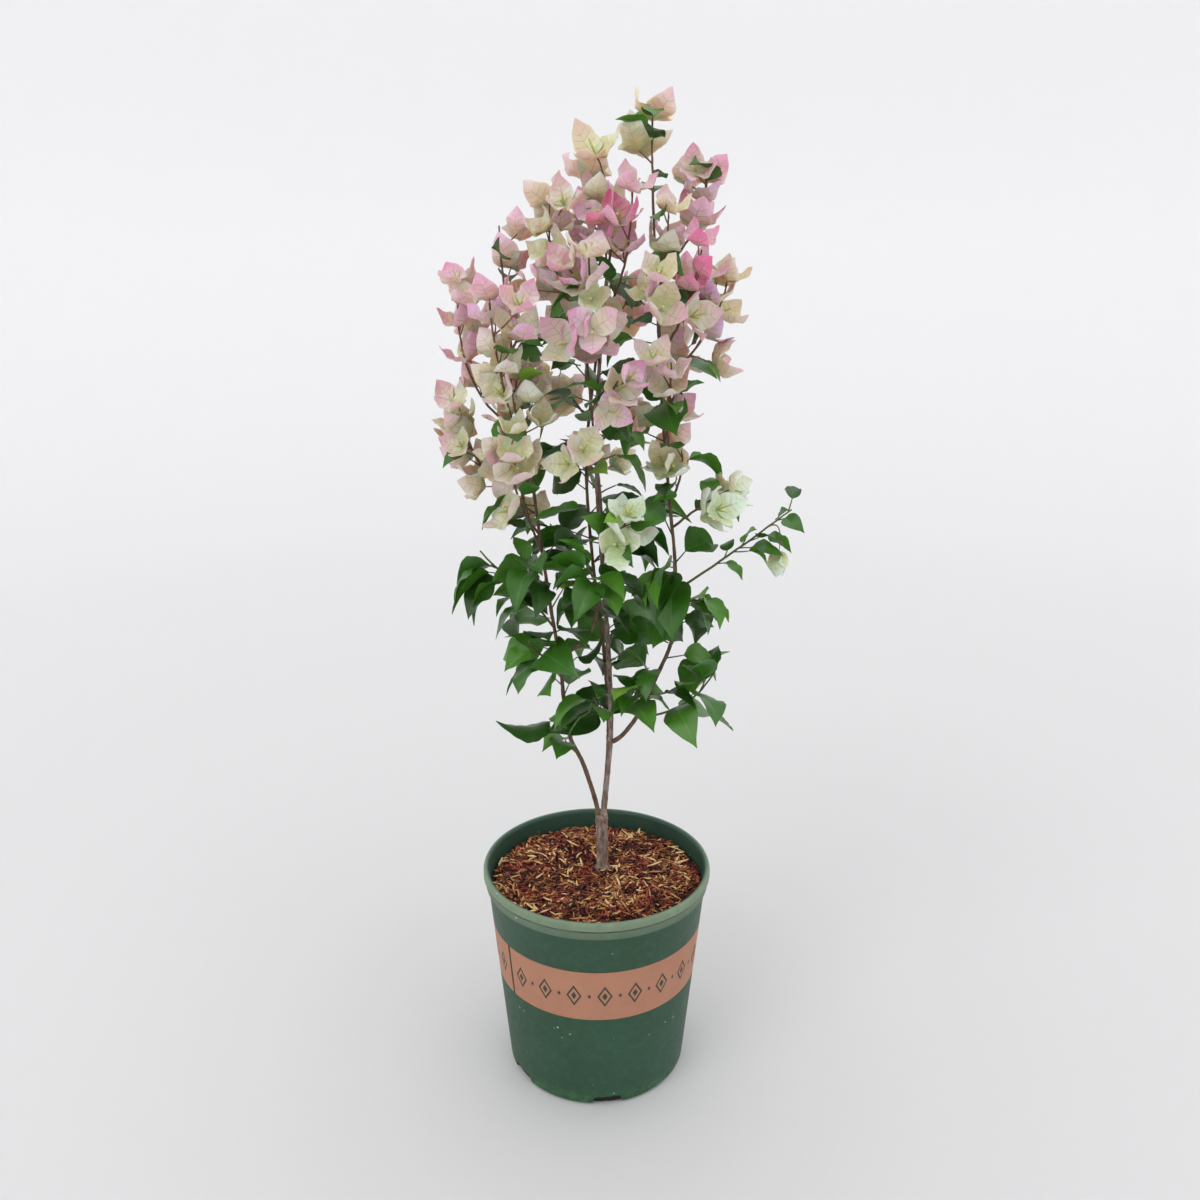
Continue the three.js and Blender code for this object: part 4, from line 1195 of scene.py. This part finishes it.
def build_soil():
    edge = wall(SOIL["edge"]) - POT["wall"] - CLEARANCE
    low = POT["floor"] + CLEARANCE
    rings, segments = 44, 96
    points = [(0, 0, low)]
    for i in range(rings + 1):
        r = edge * (1 - i / rings)
        for x, y, _ in circle(r, 0, segments):
            bump = 1.6 * patches(x, y, 0.09, 1) + 1.1 * patches(x, y, 0.3, 7)
            near = min(1, max(0, math.dist((x, y), TRUNK["foot"]) / 8 - 0.7))
            points.append((x, y, soil_height(r) + bump * near - 0.8))
    base = len(points)
    points += circle(wall(low) - POT["wall"] - CLEARANCE, low, segments)
    faces = ring_faces(1, rings + 1, segments)
    top = len(faces)
    for k in range(segments):
        n = (k + 1) % segments
        faces += [(base + k, base + n, 1 + n, 1 + k), (0, base + n, base + k)]
    build = Build()
    build.add(points, faces, [0] * top + [1] * (len(faces) - top))
    earth = patterned("mulch_bed", [(18, 7, 5), (42, 16, 10), (70, 30, 20)], 0.95, 150, 1.0, 0.003)
    dark = patterned("mulch_depth", [(22, 16, 12), (38, 28, 20)], 0.95, 150, 1.0, 0.003)
    build.object("mulch_bed", [earth, dark], "soil", ["soil"])

    chips, draw = Build(), seeded(SEEDS["mulch"])
    for count, *sizes in MULCH:
        for _ in range(count):
            add_chip(chips, draw, edge, *sizes)
    materials = [plain(f"mulch_{i}", tone, 0.9, 700, 0.8) for i, tone in enumerate(MULCH_TONES + MULCH_REDS)]
    chips.object("mulch_chips", materials, "soil", sharp=30)


def add_chip(build, draw, edge, lengths, widths, heights, rise, paler):
    """One curved sliver of bark, tapered to both ends. Its tone wanders from patch to patch."""
    r, t = (edge - 2) * math.sqrt(draw()), draw() * 2 * math.pi
    x, y = r * math.cos(t), r * math.sin(t)
    length, width, thick = (mix(*lengths, draw() ** 1.5), mix(*widths, draw()), mix(*heights, draw()))
    heading, tilt = draw() * 2 * math.pi, (draw() - 0.5) * 0.9
    lift, bend, pick = draw() ** 1.5 * rise, (draw() - 0.5) * 1.1, draw()
    ahead = vec(math.cos(heading) * math.cos(tilt), math.sin(heading) * math.cos(tilt), math.sin(tilt))
    side = unit(cross(UP, ahead))
    over = cross(ahead, side)
    centre = vec(x, y, soil_height(r) + 0.3 + lift)
    ends = [centre + ahead * length * s for s in (-0.5, 0.5)]
    foot = math.dist((x, y), TRUNK["foot"])
    if max(math.hypot(*end[:2]) for end in ends) > edge - 0.6 or foot < BARE_FOOT + length * 0.3:
        return
    stations = ((-0.5, 0.6), (0, 1), (0.5, 0.45))
    if length > 7:
        stations = ((-0.5, 0.4), (-0.17, 0.9), (0.17, 1), (0.5, 0.3))
    rows, quads = [], []
    for s, taper in stations:
        at = centre + (ahead * s + side * bend * (0.25 - s * s)) * length
        for a, b in ((-1, -1), (1, -1), (1, 1), (-1, 1)):
            rows.append(at + side * a * width / 2 * taper + over * b * thick / 2 * taper)
    last = 4 * (len(stations) - 1)
    for i in range(0, last, 4):
        quads += [(i + k, i + (k + 1) % 4, i + 4 + (k + 1) % 4, i + 4 + k) for k in range(4)]
    quads += [(3, 2, 1, 0), (last, last + 1, last + 2, last + 3)]
    patch = patches(x, y, 0.03, 3) * 0.5 + patches(x, y, 0.09, 5) * 0.3
    tone = int(min(max((0.72 * pick**1.3 + 0.55 * patch + paler) * len(MULCH_TONES), 0), len(MULCH_TONES) - 1))
    if 1 <= tone <= 3 and patches(x, y, 0.035, 9) + 0.5 * (draw() - 0.5) > 0.08:
        tone += len(MULCH_TONES) - 1
    build.add(rows, quads, tone)


# ---------- Stage ----------


def build_stage():
    """A pale floor that curves up into a wall all round."""
    turns = np.linspace(0, math.pi / 2, 14)
    profile = [(0, 0), (1.2, 0)] + [(2.4 + 1.8 * math.sin(t), 1.8 - 1.8 * math.cos(t)) for t in turns] + [(4.2, 3.4)]
    sides, points = 64, [(0, 0, 0)]
    for r, z in profile[1:]:
        points += circle(r, z, sides)
    faces = [(0, 1 + k, 1 + (k + 1) % sides) for k in range(sides)]
    faces += [face[::-1] for face in ring_faces(1, len(profile) - 1, sides)]
    mesh = new_mesh("backdrop", points, faces)
    shading = Shading("backdrop")
    # Painted light and shade: the floor is darker round the middle and grows lighter out to the wall.
    distance = shading.add("VectorMath", (0, shading.where), operation="LENGTH").outputs["Value"]
    colour = shading.ramp(shading.ranged(distance, 0.3, 4.2), (0, (211, 211, 212)), (1, (246, 246, 247)))
    mesh.materials.append(shading.surface(colour, shading.noise(3.0), 0.9, 0.02, 0.0, BUMP))
    backdrop = link("backdrop", mesh)


def build_view():
    """The camera at the photo's angle, three soft lights and an even white world."""
    camera = bpy.data.cameras.new("camera")
    camera.sensor_width, camera.lens, camera.shift_x = CAMERA["sensor"], CAMERA["lens"], CAMERA["shift"]
    eye = link("camera", camera)
    eye.location = CAMERA["place"]
    eye.rotation_euler = (math.radians(90 - CAMERA["down"]), 0, 0)
    bpy.context.scene.camera = eye
    world = bpy.data.worlds.new("studio")
    world.use_nodes = True
    set_input(world.node_tree.nodes["Background"], Color=(1, 1, 1, 1), Strength=1.0)
    bpy.context.scene.world = world
    bpy.context.scene.view_settings.view_transform = "Standard"
    for name, (place, target, size, power) in LIGHTS.items():
        data = bpy.data.lights.new(name, "AREA")
        data.shape, data.size, data.energy = "DISK", size, power
        light = link(name, data)
        light.location = place
        light.rotation_euler = (Vector(target) - Vector(place)).to_track_quat("-Z", "Y").to_euler()


build_view()
build_stage()
build_pot()
build_label()
build_soil()
build_wood()
build_sprays()
